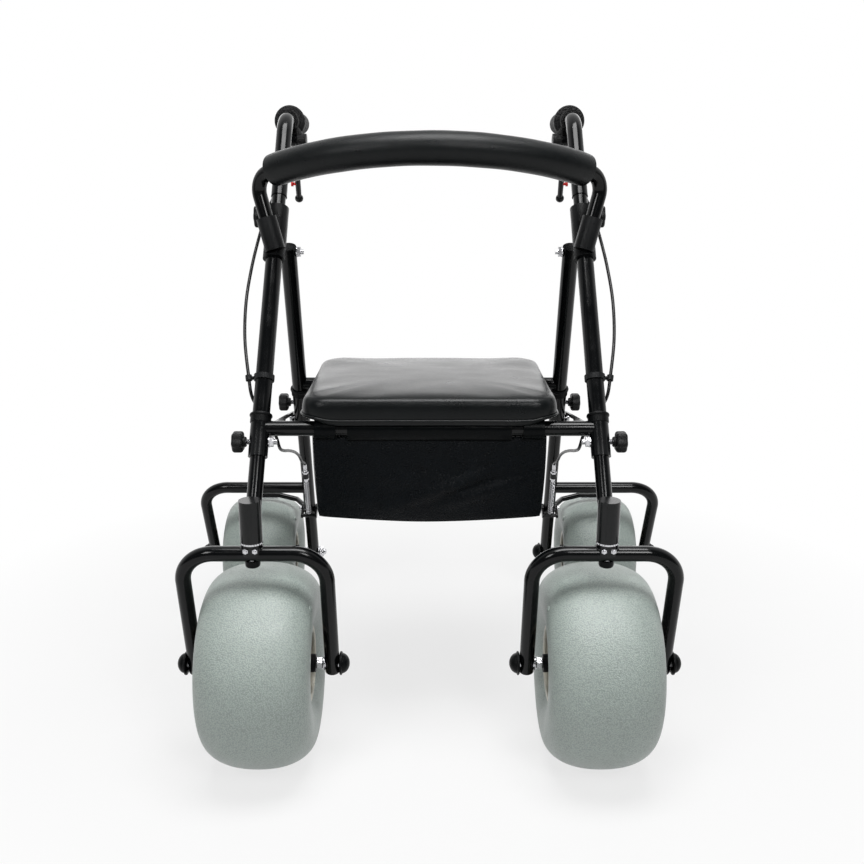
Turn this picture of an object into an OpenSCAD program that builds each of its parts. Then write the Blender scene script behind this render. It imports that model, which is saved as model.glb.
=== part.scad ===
// All terrain rollator: a folding walking frame on four balloon wheels.
// Millimetres, +Z up, the user stands at +Y and walks towards -Y.
// Left is the user's left, at +X. The origin is on the ground at the middle of the wheels.

/* [Wheels] */
// Diameter of the front balloon tyres
front_wheel_d = 300; // [280:1:320]
// Width of the front tyres
front_wheel_w = 162; // [150:1:166]
// Diameter of the rear balloon tyres
rear_wheel_d = 228; // [210:1:240]
// Width of the rear tyres
rear_wheel_w = 140; // [128:1:144]
// Distance between the middles of the front tyres
front_track = 494; // [480:1:510]
// How much wider the rear track is than the front track
track_gain = 168; // [156:1:186]
// Distance between the front and rear axles
wheelbase = 516; // [500:1:540]
// Wall of the hollow tyres
tyre_wall = 5; // [3:0.5:8]
// Diameter of the front hubs
front_hub_d = 116; // [100:1:124]
// Diameter of the rear hubs
rear_hub_d = 88; // [80:1:96]
// Width of the front hubs
front_hub_w = 132; // [120:1:140]
// Width of the rear hubs
rear_hub_w = 112; // [104:1:120]
// Diameter of the wheel axles
axle_d = 12; // [10:0.5:14]

/* [Casters] */
// Distance that the front wheels trail behind their swivels
caster_trail = 44; // [36:1:50]
// Height of the fork crown's middle
crown_z = 344; // [338:1:350]
// Distance between the fork legs
fork_span = 204; // [200:1:212]
// Diameter of the fork tubes
fork_tube_d = 22; // [20:0.5:24]
// Bend radius of the fork tubes
fork_bend_r = 47; // [40:1:52]
// Outer diameter of the swivel housing
housing_d = 31; // [29:0.5:34]
// Height of the bottom of the swivel housing
housing_low_z = 363; // [361:0.5:366]
// Length of the swivel housing
housing_len = 60; // [54:1:66]
// Diameter of the swivel stem
stem_d = 16; // [14:0.5:18]

/* [Front frame] */
// Outer diameter of the legs
leg_d = 25.4; // [24:0.1:27]
// Wall of the legs
leg_wall = 1.4; // [1.2:0.1:1.8]
// Backward lean of the front legs in degrees
leg_lean = 33.2; // [31:0.1:35]
// Inward lean of the front legs in degrees
leg_toe = 1.68; // [1:0.02:2.2]
// Height at which the front legs pass behind the swivels
leg_low_z = 412; // [406:1:418]
// Distance of the legs behind the swivels at that height
leg_set_back = 34; // [31:0.5:37]
// Height of the seat tubes
seat_tube_z = 500; // [490:1:510]
// Diameter of the seat tubes
seat_tube_d = 22; // [20:0.5:24]
// Height of the lower ends of the front legs
front_leg_low_z = 464; // [456:1:470]
// Height of the upper ends of the front legs
front_leg_top_z = 776; // [770:1:782]
// Outer diameter of the sleeves at the leg ends
sleeve_d = 28; // [27.4:0.1:30]
// Height of the height adjusting knobs of the front legs
front_knob_z = 483; // [478:1:484]
// Height of the lower edges of the front collars
front_collar_z = 506; // [504:1:512]
// Height of a collar along its leg
collar_len = 14; // [10:1:18]
// Outer diameter of the collars
collar_d = 30; // [29.6:0.1:34]

/* [Rear frame] */
// Height of the fold hinge
hinge_z = 735; // [728:1:742]
// Distance of the fold hinge behind the front axle
hinge_back = 237; // [232:1:242]
// Distance of the rear legs inboard of the front legs at the hinge
hinge_inset = 16.5; // [15:0.1:19]
// Distance of the rear legs inboard of the middle of the rear tyres, at the axle
rear_leg_inset = 97; // [94:0.5:100]
// Height of the lower ends of the upper rear legs
rear_leg_low_z = 416; // [408:1:424]
// Height of the height adjusting knobs of the rear legs
rear_knob_z = 463; // [460:1:468]
// Height of the lower edges of the rear collars
rear_collar_z = 479; // [477:1:483]
// Height at which the wheel arches leave the rear legs
arch_z = 275; // [270:1:282]
// Distance of the outer arch tubes outboard of the middle of the rear tyres
arch_outset = 100; // [97:0.5:103]
// Diameter of the arch tubes
arch_tube_d = 21; // [18:0.5:21.4]
// Diameter of the hinge bolts
hinge_bolt_d = 8; // [6:0.5:10]
// Height of the stud that runs in the stay's slot
stud_z = 431; // [428:1:434]
// Distance of the stay's pin behind the front axle
stay_pin_back = 80; // [78:1:84]
// Height of the stay's pin
stay_pin_z = 482; // [479:1:484]
// Width of the flat stays
stay_w = 22; // [20:0.5:24]
// Thickness of the flat stays
stay_t = 4; // [3:0.5:4.5]

/* [Handles] */
// Height of the handle grips
grip_z = 936; // [926:1:946]
// Diameter of the handle tubes
handle_d = 25; // [24:0.5:26]
// Height of the shoulder where the handle tube narrows to its post
handle_shoulder_z = 818; // [814:1:824]
// Length of the handle post below the shoulder
post_len = 210; // [180:5:230]
// Bend radius of the handle tubes
handle_bend_r = 45; // [38:1:50]
// Length of the grips
grip_len = 120; // [110:1:130]
// Diameter of the grips
grip_d = 38; // [36:0.5:42]
// Diameter of the grips' front flanges
grip_flange_d = 51; // [46:0.5:54]
// Straight tube between the handle's bend and its grip
grip_start = 25; // [23:0.5:30]
// Length of the brake levers
lever_len = 138; // [126:1:144]
// Downward slope of the brake levers in degrees
lever_slope = 44; // [40:0.5:47]

/* [Backrest] */
// Diameter of the backrest tube
back_tube_d = 22; // [20:0.5:24]
// Diameter of the foam pad
back_pad_d = 48; // [44:0.5:52]
// Distance of the pad's ends inboard of the backrest's sockets
back_pad_inset = 5; // [1:0.5:11]
// Height of the pad's ends
back_end_z = 855; // [850:1:862]
// Height of the pad's middle
back_mid_z = 889; // [882:1:896]
// Distance of the pad's ends behind the front axle
back_end_back = 193; // [190:1:198]
// Distance of the pad's middle behind the front axle
back_mid_back = 113; // [108:1:120]
// Bend radius of the backrest tube
back_bend_r = 28; // [24:1:30]

/* [Seat and bag] */
// Width of the seat
seat_w = 377; // [364:1:388]
// Depth of the seat
seat_depth = 319; // [312:1:326]
// Thickness of the seat board
board_t = 8; // [6:0.5:10]
// Height of the cushion over the board
cushion_h = 29; // [24:0.5:34]
// Corner radius of the seat in plan
seat_corner_r = 42; // [38:1:50]
// Width of the bag
bag_w = 336; // [320:1:350]
// Depth of the bag below the seat tubes' middle
bag_drop = 139; // [125:1:150]
// Thickness of the bag's cloth with its lining
bag_wall = 3; // [2:0.5:4]

/* [Brakes] */
// Diameter of the brake cables
cable_d = 5; // [4:0.5:6]
// Height of the brake arms' pivots
brake_pivot_z = 225; // [221:1:229]
// Gap between the brake shoes and the tyres at rest
shoe_gap = 7; // [6:0.5:9]
// Diameter of the brake shoe bars
shoe_d = 10; // [8:0.5:12]
// Outer diameter of the return springs
spring_d = 9.6; // [8.6:0.2:11]
// Diameter of the spring wire
spring_wire = 1.4; // [1.2:0.1:1.6]
// Number of curls in a return spring
spring_curls = 14; // [10:1:16]

/* [Knobs] */
// Diameter of the lobed leg knobs
knob_d = 35; // [32:0.5:37]
// Thickness of the leg knobs
knob_t = 16; // [14:0.5:17]
// Diameter of the flat handle knobs
handle_knob_d = 40; // [36:0.5:42]
// Thickness of the handle knobs
handle_knob_t = 10; // [9:0.5:11]
// Diameter of the knobs' screws
knob_screw_d = 8; // [6:0.5:9]

/* [Hidden] */
$fn = 48;
left = 1;
right = -1;
both = [left, right];

// Overrun of every cut
cut = 1;
// Clearance of a turning fit, on the radius
run_gap = 0.06;
// Clearance between faces that pass each other
slip_gap = 0.3;
// Clearance of fixed pieces against each other
seat_gap = 0.1;

black = [0.05, 0.05, 0.055];
soft_black = [0.09, 0.09, 0.095];
chrome = [0.8, 0.8, 0.82];
tyre_grey = [0.62, 0.66, 0.65];
hub_grey = [0.72, 0.71, 0.66];
red = [0.8, 0.08, 0.06];

// Places of the axles
front_r = front_wheel_d / 2;
rear_r = rear_wheel_d / 2;
rear_track = front_track + track_gain;
front_axle_y = -(wheelbase + rear_r - front_r) / 2;
rear_axle_y = front_axle_y + wheelbase;
front_axle = [front_track / 2, front_axle_y, front_r];
rear_axle = [rear_track / 2, rear_axle_y, rear_r];
swivel = [front_track / 2, front_axle_y - caster_trail, 0];

// Lines of the legs
function unit(v) = v / norm(v);
function on_line(p, d, z) = p + d * (z - p.z) / d.z;
leg_low = [front_track / 2, swivel.y + leg_set_back, leg_low_z];
leg_dir = unit([-tan(leg_toe), tan(leg_lean), 1]);
function leg_at(z) = on_line(leg_low, leg_dir, z);
hinge_x = leg_at(hinge_z).x - hinge_inset;
hinge = [hinge_x, front_axle_y + hinge_back, hinge_z];
rear_foot = rear_axle - [rear_leg_inset, 0, 0];
rear_dir = unit(rear_foot - hinge);
function rear_at(z) = on_line(hinge, rear_dir, z);
leg_bore_d = leg_d - 2 * leg_wall;
inner_leg_d = leg_bore_d - 2 * slip_gap;
inner_leg_hold = 120;
tube_end = 14;

// Rigid frame at a point: local Z along ez, local X as near to xhint as it can be
function frame_at(o, ez, xhint) =
    let (z = unit(ez), x = unit(xhint - (xhint * z) * z), y = cross(z, x))
    [[x.x, y.x, z.x, o.x], [x.y, y.y, z.y, o.y], [x.z, y.z, z.z, o.z], [0, 0, 0, 1]];
out_x = [1, 0, 0];
up_z = [0, 0, 1];
back_y = [0, 1, 0];

module on_side(side) {
    mirror([side < 0 ? 1 : 0, 0, 0]) children();
}

module pair() {
    for (side = both) on_side(side) children();
}

module rod(p, q, d) {
    multmatrix(frame_at(p, q - p, abs((q - p).x) < norm(q - p) / 2 ? out_x : back_y))
        cylinder(d = d, h = norm(q - p));
}

module ring(d_out, d_in, h) {
    difference() {
        cylinder(d = d_out, h = h);
        translate([0, 0, -cut]) cylinder(d = d_in, h = h + 2 * cut);
    }
}

module hex_nut(across, h, bore) {
    difference() {
        cylinder(d = across / cos(30), h = h, $fn = 6);
        translate([0, 0, -cut]) cylinder(d = bore, h = h + 2 * cut);
    }
}

// Bent tube through a list of corners, each rounded to the same bend radius.
// The straights lap into the bends, which stand a hair proud of them.
bend_lap = 0.5;
bend_step = 0.06;
function corner_angle(u, v) = acos(max(-1, min(1, u * v)));
module bent_tube(p, d, r) {
    n = len(p);
    dirs = [for (i = [0 : n - 2]) unit(p[i + 1] - p[i])];
    trim = [for (i = [0 : n - 1])
        i == 0 || i == n - 1 ? 0 : r * tan(corner_angle(dirs[i - 1], dirs[i]) / 2)];
    for (i = [0 : n - 2])
        rod(p[i] + dirs[i] * (i == 0 ? 0 : trim[i] - bend_lap),
            p[i + 1] - dirs[i] * (i == n - 2 ? 0 : trim[i + 1] - bend_lap), d);
    for (i = [1 : n - 2]) {
        a = corner_angle(dirs[i - 1], dirs[i]);
        start = p[i] - dirs[i - 1] * trim[i];
        inward = unit(dirs[i] - (dirs[i] * dirs[i - 1]) * dirs[i - 1]);
        centre = start + inward * r;
        multmatrix(frame_at(centre, cross(-inward, dirs[i - 1]), -inward))
            rotate_extrude(angle = a) translate([r, 0]) circle(d = d + 2 * bend_step);
    }
}

// Sweep of a round wire along points, as one closed mesh of triangles
function sweep_rings(p, d, sides) =
    let (n = len(p))
    [for (i = [0 : n - 1])
        let (t = unit(p[min(i + 1, n - 1)] - p[max(i - 1, 0)]),
             hint = abs(t.x) < 0.8 ? out_x : back_y,
             x = unit(hint - (hint * t) * t),
             y = cross(t, x))
        for (k = [0 : sides - 1])
            p[i] + d / 2 * (x * cos(360 * k / sides) + y * sin(360 * k / sides))];
function sweep_faces(n, sides) = concat(
    [for (i = [0 : n - 2], k = [0 : sides - 1])
        [i * sides + k, (i + 1) * sides + k, (i + 1) * sides + (k + 1) % sides]],
    [for (i = [0 : n - 2], k = [0 : sides - 1])
        [i * sides + k, (i + 1) * sides + (k + 1) % sides, i * sides + (k + 1) % sides]],
    [for (k = [1 : sides - 2]) [0, k, k + 1]],
    [for (k = [1 : sides - 2])
        [(n - 1) * sides, (n - 1) * sides + k + 1, (n - 1) * sides + k]]);
module sweep(p, d, sides) {
    polyhedron(points = sweep_rings(p, d, sides), faces = sweep_faces(len(p), sides));
}

// Front frame: two legs, their lower sleeves, the seat tube and the stay tabs, welded
tab_t = 4;
tab_h = 20;
rear_sleeve_d = sleeve_d - 2 * slip_gap;
stay_gap = 0.7;
stay_x = rear_at(stud_z).x + rear_sleeve_d / 2 + stay_gap;
stay_pin = [stay_x, front_axle_y + stay_pin_back, stay_pin_z];
stay_pin_d = 8;
stud = [stay_x, rear_at(stud_z).y, stud_z];
stud_d = 8;
tab_reach = 9;
seat_front_pt = leg_at(seat_tube_z);
sleeve_top_z = front_collar_z;

module leg_bores() {
    pair() {
        rod(leg_at(front_leg_low_z) - leg_dir * cut, leg_at(front_leg_top_z) + leg_dir * cut, leg_bore_d);
        rod(leg_at(front_knob_z) - out_x * collar_d, leg_at(front_knob_z) + out_x * collar_d,
            knob_screw_d + 2 * seat_gap);
    }
}

module front_frame() {
    color(black) difference() {
        union() {
            pair() {
                rod(leg_at(front_leg_low_z), leg_at(front_leg_top_z), leg_d);
                rod(leg_at(front_leg_low_z), leg_at(sleeve_top_z), sleeve_d);
                difference() {
                    translate([stay_x - slip_gap - tab_t, seat_front_pt.y, stay_pin_z - tab_h / 2])
                        cube([tab_t, stay_pin.y + tab_reach - seat_front_pt.y, tab_h]);
                    rod(stay_pin - out_x * tab_t * 2, stay_pin + out_x * tab_t, stay_pin_d + 2 * seat_gap);
                }
            }
            rod([-seat_front_pt.x, seat_front_pt.y, seat_tube_z],
                [seat_front_pt.x, seat_front_pt.y, seat_tube_z], seat_tube_d);
        }
        leg_bores();
    }
}

// Collars that close the sleeves, with a grip ring
collar_lip = 3;
module collar(d_in) {
    ring(collar_d, d_in, collar_len);
    translate([0, 0, collar_len - collar_lip]) ring(collar_d + collar_lip / 2, d_in, collar_lip);
}

// Room in a collar for the seat tube that is welded to its leg
module seat_tube_notch(p) {
    rod([-p.x, p.y, seat_tube_z], [p.x, p.y, seat_tube_z], seat_tube_d + 2 * seat_gap);
}

module front_collars() {
    color(soft_black) difference() {
        pair() multmatrix(frame_at(leg_at(front_collar_z) + leg_dir * seat_gap, leg_dir, out_x))
            collar(leg_d + 2 * seat_gap);
        seat_tube_notch(seat_front_pt);
    }
}

// Brackets at the leg tops: sleeve on the leg, socket for the backrest, ear for the rear leg
bracket_d = 34;
bracket_low_z = 727;
bracket_top_z = 801;
socket_d = 31;
socket_low_z = 742;
socket_top_z = 789;
socket_depth = 18;
socket_x = swivel.x;
socket_back = 199;
ear_t = 7;
ear_r = 15;
ear_x = hinge_x + leg_d / 2 + slip_gap;
handle_knob_z = 789;
socket_foot = [socket_x, front_axle_y + socket_back, socket_low_z];
// Straight length between the pad's end and the corner of the backrest tube
back_tail = 27;
back_pad_x = socket_x - back_pad_inset;
back_end = [back_pad_x, front_axle_y + back_end_back, back_end_z];
back_mid = [0, front_axle_y + back_mid_back, back_mid_z];
bow_sag = norm([0, back_mid.y - back_end.y, back_mid.z - back_end.z]);
bow_out = [0, back_mid.y - back_end.y, back_mid.z - back_end.z] / bow_sag;
bow_r = (back_pad_x * back_pad_x + bow_sag * bow_sag) / (2 * bow_sag);
bow_half = asin(back_pad_x / bow_r);
pad_short = 11;
pad_half = asin((back_pad_x - pad_short) / bow_r);
bow_centre = back_mid - bow_out * bow_r;
// The tube leaves the bow on a straight a little inside the pad's ends
bow_straight = 9;
// Angle by which the pad's bore runs past its ends
bow_over = 1;
bow_tube_half = bow_half - asin(bow_straight / bow_r);
bow_tube_end = bow_centre + bow_r * (bow_out * cos(bow_tube_half) + out_x * sin(bow_tube_half));
bow_end_dir = out_x * cos(bow_tube_half) - bow_out * sin(bow_tube_half);
back_corner = bow_tube_end + bow_end_dir * (bow_straight + back_tail);
back_arm_dir = unit(back_corner - [socket_x, socket_foot.y, socket_top_z]);
function socket_at(z) = on_line([socket_x, socket_foot.y, socket_top_z], back_arm_dir, z);

module top_bracket() {
    difference() {
        union() {
            rod(leg_at(bracket_low_z), leg_at(bracket_top_z), bracket_d);
            rod(socket_at(socket_low_z), socket_at(socket_top_z), socket_d);
            hull() {
                translate([ear_x, hinge.y, hinge.z]) rotate([0, 90, 0]) cylinder(r = ear_r, h = ear_t, $fn = 32);
                translate([ear_x, leg_at(hinge_z).y, hinge.z + ear_r]) rotate([0, 90, 0])
                    cylinder(r = ear_r / 2, h = ear_t, $fn = 32);
                translate([ear_x, leg_at(hinge_z).y, hinge.z + ear_r / 2]) rotate([0, 90, 0])
                    cylinder(r = ear_r / 2, h = ear_t, $fn = 32);
            }
        }
        rod(leg_at(bracket_low_z - cut), leg_at(front_leg_top_z) + leg_dir * seat_gap, leg_d + 2 * seat_gap);
        rod(leg_at(bracket_low_z), leg_at(bracket_top_z) + leg_dir * bracket_d, leg_bore_d);
        rod(socket_at(socket_top_z - socket_depth), socket_at(socket_top_z + cut * 2), back_tube_d + 2 * seat_gap);
        rod([0, hinge.y, hinge.z], [hinge_x * 2, hinge.y, hinge.z], hinge_bolt_d + 2 * seat_gap);
        rod(leg_at(handle_knob_z), leg_at(handle_knob_z) + out_x * bracket_d, knob_screw_d + 2 * seat_gap);
    }
}

module top_brackets() {
    color(soft_black) pair() top_bracket();
}

// Bands on the front legs that hold the brake cables
clip_z = 565;
clip_h = 8;
clip_t = 2.4;
clip_room = 0.9;
module cable_clips() {
    eye = cable_point_at_clip;
    eye_dir = unit(cable_route[clip_index - 1] - cable_route[clip_index + 1]);
    color(soft_black) pair() difference() {
        union() {
            multmatrix(frame_at(leg_at(clip_z), leg_dir, out_x)) translate([0, 0, -clip_h / 2])
                cylinder(d = leg_d + 2 * clip_t, h = clip_h);
            rod(leg_at(clip_z), [eye.x, leg_at(clip_z).y, clip_z], clip_h - clip_t);
            multmatrix(frame_at(eye, eye_dir, out_x)) translate([0, 0, -clip_h / 2])
                cylinder(d = cable_d + 2 * clip_t, h = clip_h);
        }
        rod(leg_at(clip_z) - leg_dir * leg_d, leg_at(clip_z) + leg_dir * leg_d, leg_d + 2 * seat_gap);
        rod(eye - eye_dir * leg_d, eye + eye_dir * leg_d, cable_d + 2 * clip_room);
    }
}

// Bolts of the front frame: fold hinge, stay pins and the nuts inside the front sleeves
bolt_head_t = 5;
washer_t = 1.5;
nut_af = 13;
washer_share = 1.25;
head_share = 1.7;
module hinge_bolt() {
    inner_x = hinge_x - leg_d / 2;
    rod([inner_x - washer_t - bolt_head_t * 2, hinge.y, hinge.z], [ear_x + ear_t + seat_gap, hinge.y, hinge.z],
        hinge_bolt_d);
    translate([ear_x + ear_t + seat_gap, hinge.y, hinge.z]) rotate([0, 90, 0])
        cylinder(d = nut_af, h = bolt_head_t);
    translate([inner_x - slip_gap - washer_t, hinge.y, hinge.z]) rotate([0, 90, 0])
        cylinder(d = nut_af * washer_share, h = washer_t);
    translate([inner_x - slip_gap - washer_t - bolt_head_t, hinge.y, hinge.z]) rotate([0, 90, 0])
        cylinder(d = nut_af / cos(30), h = bolt_head_t, $fn = 6);
}

module stay_pin_bolt() {
    rod(stay_pin - out_x * (slip_gap + tab_t + bolt_head_t), stay_pin + out_x * (stay_t + slip_gap), stay_pin_d);
    translate([stay_pin.x + stay_t + slip_gap, stay_pin.y, stay_pin.z]) rotate([0, 90, 0])
        cylinder(d = stay_pin_d * head_share, h = stay_t);
    translate([stay_pin.x - slip_gap - tab_t - seat_gap - bolt_head_t, stay_pin.y, stay_pin.z])
        rotate([0, 90, 0]) cylinder(d = nut_af / cos(30), h = bolt_head_t, $fn = 6);
}

module sleeve_nut() {
    tilt = nut_af * washer_share / 2 * tan(leg_toe);
    seat = leg_at(front_knob_z) - out_x * (sleeve_d / 2 + tilt + seat_gap);
    translate(seat) rotate([0, -90, 0]) cylinder(d = nut_af * washer_share, h = washer_t);
    translate(seat - out_x * washer_t) rotate([0, -90, 0])
        cylinder(d = nut_af / cos(30), h = bolt_head_t, $fn = 6);
    translate(seat - out_x * (washer_t + bolt_head_t)) rotate([0, -90, 0])
        cylinder(d = hinge_bolt_d, h = bolt_head_t);
}

module front_bolts() {
    color(chrome) pair() {
        hinge_bolt();
        stay_pin_bolt();
        sleeve_nut();
    }
}

// Backrest: a bow in a tilted plane, with an arm at each end that drops into its socket
module bow(d, half) {
    multmatrix(frame_at(bow_centre, cross(bow_out, out_x), bow_out))
        rotate([0, 0, -half]) rotate_extrude(angle = 2 * half, $fn = 96)
            translate([bow_r, 0]) circle(d = d);
}

module backrest_tube() {
    color(black) {
        bow(back_tube_d + 2 * bend_step, bow_tube_half);
        pair() bent_tube([socket_at(socket_top_z - socket_depth + slip_gap), back_corner,
            bow_tube_end - bow_end_dir * bend_lap], back_tube_d, back_bend_r);
    }
}

module backrest_pad() {
    color(soft_black) difference() {
        bow(back_pad_d, pad_half);
        bow(back_tube_d + 2 * slip_gap, pad_half + bow_over);
    }
}

// Seat: a board on two saddles that turn on the front seat tube, and a rolled cushion that wraps the board
board_low_z = seat_tube_z + seat_tube_d / 2 + bag_wall + slip_gap;
board_inset = 16;
seat_front_over = 22;
seat_front_y = seat_front_pt.y - seat_front_over;
seat_mid = [0, seat_front_y + seat_depth / 2, board_low_z];
saddle_x = 150;
saddle_w = 30;
saddle_wall = 5;

module rounded_plate(w, l, r, h) {
    linear_extrude(h) {
        square([w - 2 * r, l], center = true);
        square([w, l - 2 * r], center = true);
        for (x = both, y = both) translate([x * (w / 2 - r), y * (l / 2 - r)]) circle(r = r);
    }
}

module seat_board() {
    color(soft_black) translate(seat_mid)
        rounded_plate(seat_w - 2 * board_inset, seat_depth - 2 * board_inset, seat_corner_r - board_inset, board_t);
}

// Plan of the seat at an inset, as points round a rectangle with round corners
corner_steps = 5;
side_steps = 4;
function plan_corner(w, l, r, cx, cy, a0) =
    [for (i = [0 : corner_steps])
        [cx * (w / 2 - r) + r * cos(a0 + 90 * i / corner_steps),
         cy * (l / 2 - r) + r * sin(a0 + 90 * i / corner_steps)]];
function plan_side(p, q) = [for (i = [1 : side_steps - 1]) p + (q - p) * i / side_steps];
function plan(w, l, r) =
    let (a = plan_corner(w, l, r, 1, 1, 0), b = plan_corner(w, l, r, -1, 1, 90),
         c = plan_corner(w, l, r, -1, -1, 180), d = plan_corner(w, l, r, 1, -1, 270))
    concat(a, plan_side(a[corner_steps], b[0]), b, plan_side(b[corner_steps], c[0]),
           c, plan_side(c[corner_steps], d[0]), d, plan_side(d[corner_steps], a[0]));
// How far the cushion's sides draw in between the corners
side_draw = 3;
function drawn(p) =
    [p.x - sign(p.x) * side_draw * max(0, 1 - pow(2 * p.y / seat_depth, 4)) * (abs(p.x) > seat_w / 3 ? 1 : 0),
     p.y - sign(p.y) * side_draw * max(0, 1 - pow(2 * p.x / seat_w, 4)) * (abs(p.y) > seat_depth / 3 ? 1 : 0)];
// Each level of the cushion: its inset and height as shares of the roll and of the cover's height
roll = 20;
crown = 5;
cover_h = board_t + cushion_h;
level_shares = [[0.3, 0], [0.08, 0.12], [0, 0.34], [0.04, 0.58], [0.24, 0.78], [0.65, 0.91], [1.4, 0.97]];
crown_shares = [0.72, 0.42, 0.16];
function cushion_ring(inset, z) =
    [for (p = plan(seat_w - 2 * inset, seat_depth - 2 * inset, max(seat_corner_r - inset, roll)))
        let (q = drawn(p)) [q.x, q.y, z]];
function crown_ring(k) =
    let (top = level_shares[len(level_shares) - 1],
         inset = top[0] * roll,
         p = cushion_ring(inset, 0))
    [for (q = p) [q.x * k, q.y * k, cover_h * top[1] + crown * (1 - k * k)]];
// Pocket for the board, open below
pocket_gap = 0.7;
function pocket_ring(z) =
    let (inset = board_inset - pocket_gap)
    [for (p = plan(seat_w - 2 * inset, seat_depth - 2 * inset, seat_corner_r - inset)) [p.x, p.y, z]];
cushion_rings = concat(
    [pocket_ring(board_t + seat_gap), pocket_ring(0)],
    [for (s = level_shares) cushion_ring(s[0] * roll, s[1] * cover_h)],
    [for (k = crown_shares) crown_ring(k)]);
function loft_faces(rings) =
    let (n = len(rings[0]), m = len(rings))
    concat(
        [for (i = [0 : m - 2], k = [0 : n - 1])
            [i * n + k, (i + 1) * n + k, (i + 1) * n + (k + 1) % n]],
        [for (i = [0 : m - 2], k = [0 : n - 1])
            [i * n + k, (i + 1) * n + (k + 1) % n, i * n + (k + 1) % n]],
        [for (k = [0 : n - 1]) [m * n, k, (k + 1) % n]],
        [for (k = [0 : n - 1]) [m * n + 1, (m - 1) * n + (k + 1) % n, (m - 1) * n + k]]);

module seat_cushion() {
    top = cushion_rings[len(cushion_rings) - 1][0].z;
    rings = cushion_rings;
    color(black) translate(seat_mid)
        polyhedron(points = concat([for (ring = rings) each ring], [[0, 0, rings[0][0].z], [0, 0, top]]),
            faces = loft_faces(rings));
}

module saddle_place(side, w) {
    translate([side * saddle_x - w / 2, seat_front_pt.y, seat_tube_z]) rotate([0, 90, 0]) children();
}

module seat_saddles() {
    outer_d = seat_tube_d + 2 * saddle_wall;
    color(soft_black) for (side = both) difference() {
        saddle_place(side, saddle_w) ring(outer_d, seat_tube_d + 2 * run_gap, saddle_w);
        translate([side * saddle_x - saddle_w, seat_front_pt.y - outer_d, board_low_z])
            cube([saddle_w * 2, outer_d * 2, outer_d]);
    }
}

// Bag: hems round both seat tubes, four walls and a floor, open at the top
bag_hem_w = 236;
bag_rake = 16;
rear_tube_pt = rear_at(seat_tube_z);
bag_low_z = seat_tube_z - bag_drop;

module bag_profile(shrink) {
    y0 = seat_front_pt.y;
    y1 = rear_tube_pt.y;
    top = seat_tube_z - seat_tube_d / 2 - slip_gap;
    polygon([[y0 + shrink, top + (shrink > 0 ? cut : 0)], [y0 + bag_rake + shrink, bag_low_z + shrink],
        [y1 - bag_rake - shrink, bag_low_z + shrink], [y1 - shrink, top + (shrink > 0 ? cut : 0)]]);
}

module along_x(w) {
    translate([-w / 2, 0, 0]) rotate([90, 0, 90]) linear_extrude(w) children();
}

module bag() {
    color(soft_black) {
        difference() {
            along_x(bag_w) bag_profile(0);
            along_x(bag_w - 2 * bag_wall) bag_profile(bag_wall);
            for (p = [seat_front_pt, rear_tube_pt])
                translate([-bag_w, p.y, seat_tube_z]) rotate([0, 90, 0])
                    cylinder(d = seat_tube_d + 2 * slip_gap, h = bag_w * 2);
            for (side = both)
                saddle_place(side, saddle_w + 2 * bag_wall)
                    cylinder(d = seat_tube_d + 2 * saddle_wall + 2 * cut, h = saddle_w + 2 * bag_wall);
        }
        for (p = [seat_front_pt, rear_tube_pt])
            translate([-bag_hem_w / 2, p.y, seat_tube_z]) rotate([0, 90, 0]) difference() {
                cylinder(d = seat_tube_d + 2 * bag_wall, h = bag_hem_w);
                translate([0, 0, -cut]) cylinder(d = seat_tube_d + 2 * slip_gap, h = bag_hem_w + 2 * cut);
            }
    }
}

// Rear frame: two upper legs and the rear seat tube, welded, hung from the hinge bolts
rear_sleeve_top_z = rear_collar_z;
rear_top_over = 9;

module rear_frame() {
    color(black) difference() {
        union() {
            pair() {
                rod(rear_at(rear_leg_low_z), hinge - rear_dir * rear_top_over, leg_d);
                rod(rear_at(rear_leg_low_z), rear_at(rear_sleeve_top_z), rear_sleeve_d);
            }
            rod([-rear_tube_pt.x, rear_tube_pt.y, seat_tube_z], [rear_tube_pt.x, rear_tube_pt.y, seat_tube_z],
                seat_tube_d);
        }
        pair() {
            rod(rear_at(rear_leg_low_z - cut), hinge + rear_dir * leg_d, leg_bore_d);
            rod([0, hinge.y, hinge.z], [hinge_x * 2, hinge.y, hinge.z], hinge_bolt_d + 2 * run_gap);
            rod(rear_at(rear_knob_z), rear_at(rear_knob_z) + out_x * collar_d, knob_screw_d + 2 * seat_gap);
            rod(rear_at(stud_z), rear_at(stud_z) + out_x * collar_d, stud_d + 2 * seat_gap);
        }
    }
}

module rear_collars() {
    color(soft_black) difference() {
        pair() multmatrix(frame_at(rear_at(rear_collar_z) - rear_dir * seat_gap, -rear_dir, out_x))
            collar(leg_d + 2 * seat_gap);
        seat_tube_notch(rear_tube_pt);
    }
}

module rear_bolts() {
    foot_x = rear_at(stud_z).x + leg_bore_d / 2;
    color(chrome) pair() {
        rod([foot_x, stud.y, stud.z], [stay_x + stay_t + slip_gap, stud.y, stud.z], stud_d);
        translate([stay_x + stay_t + slip_gap, stud.y, stud.z]) rotate([0, 90, 0])
            cylinder(d = stud_d * head_share, h = stay_t - 2 * slip_gap);
    }
}

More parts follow.
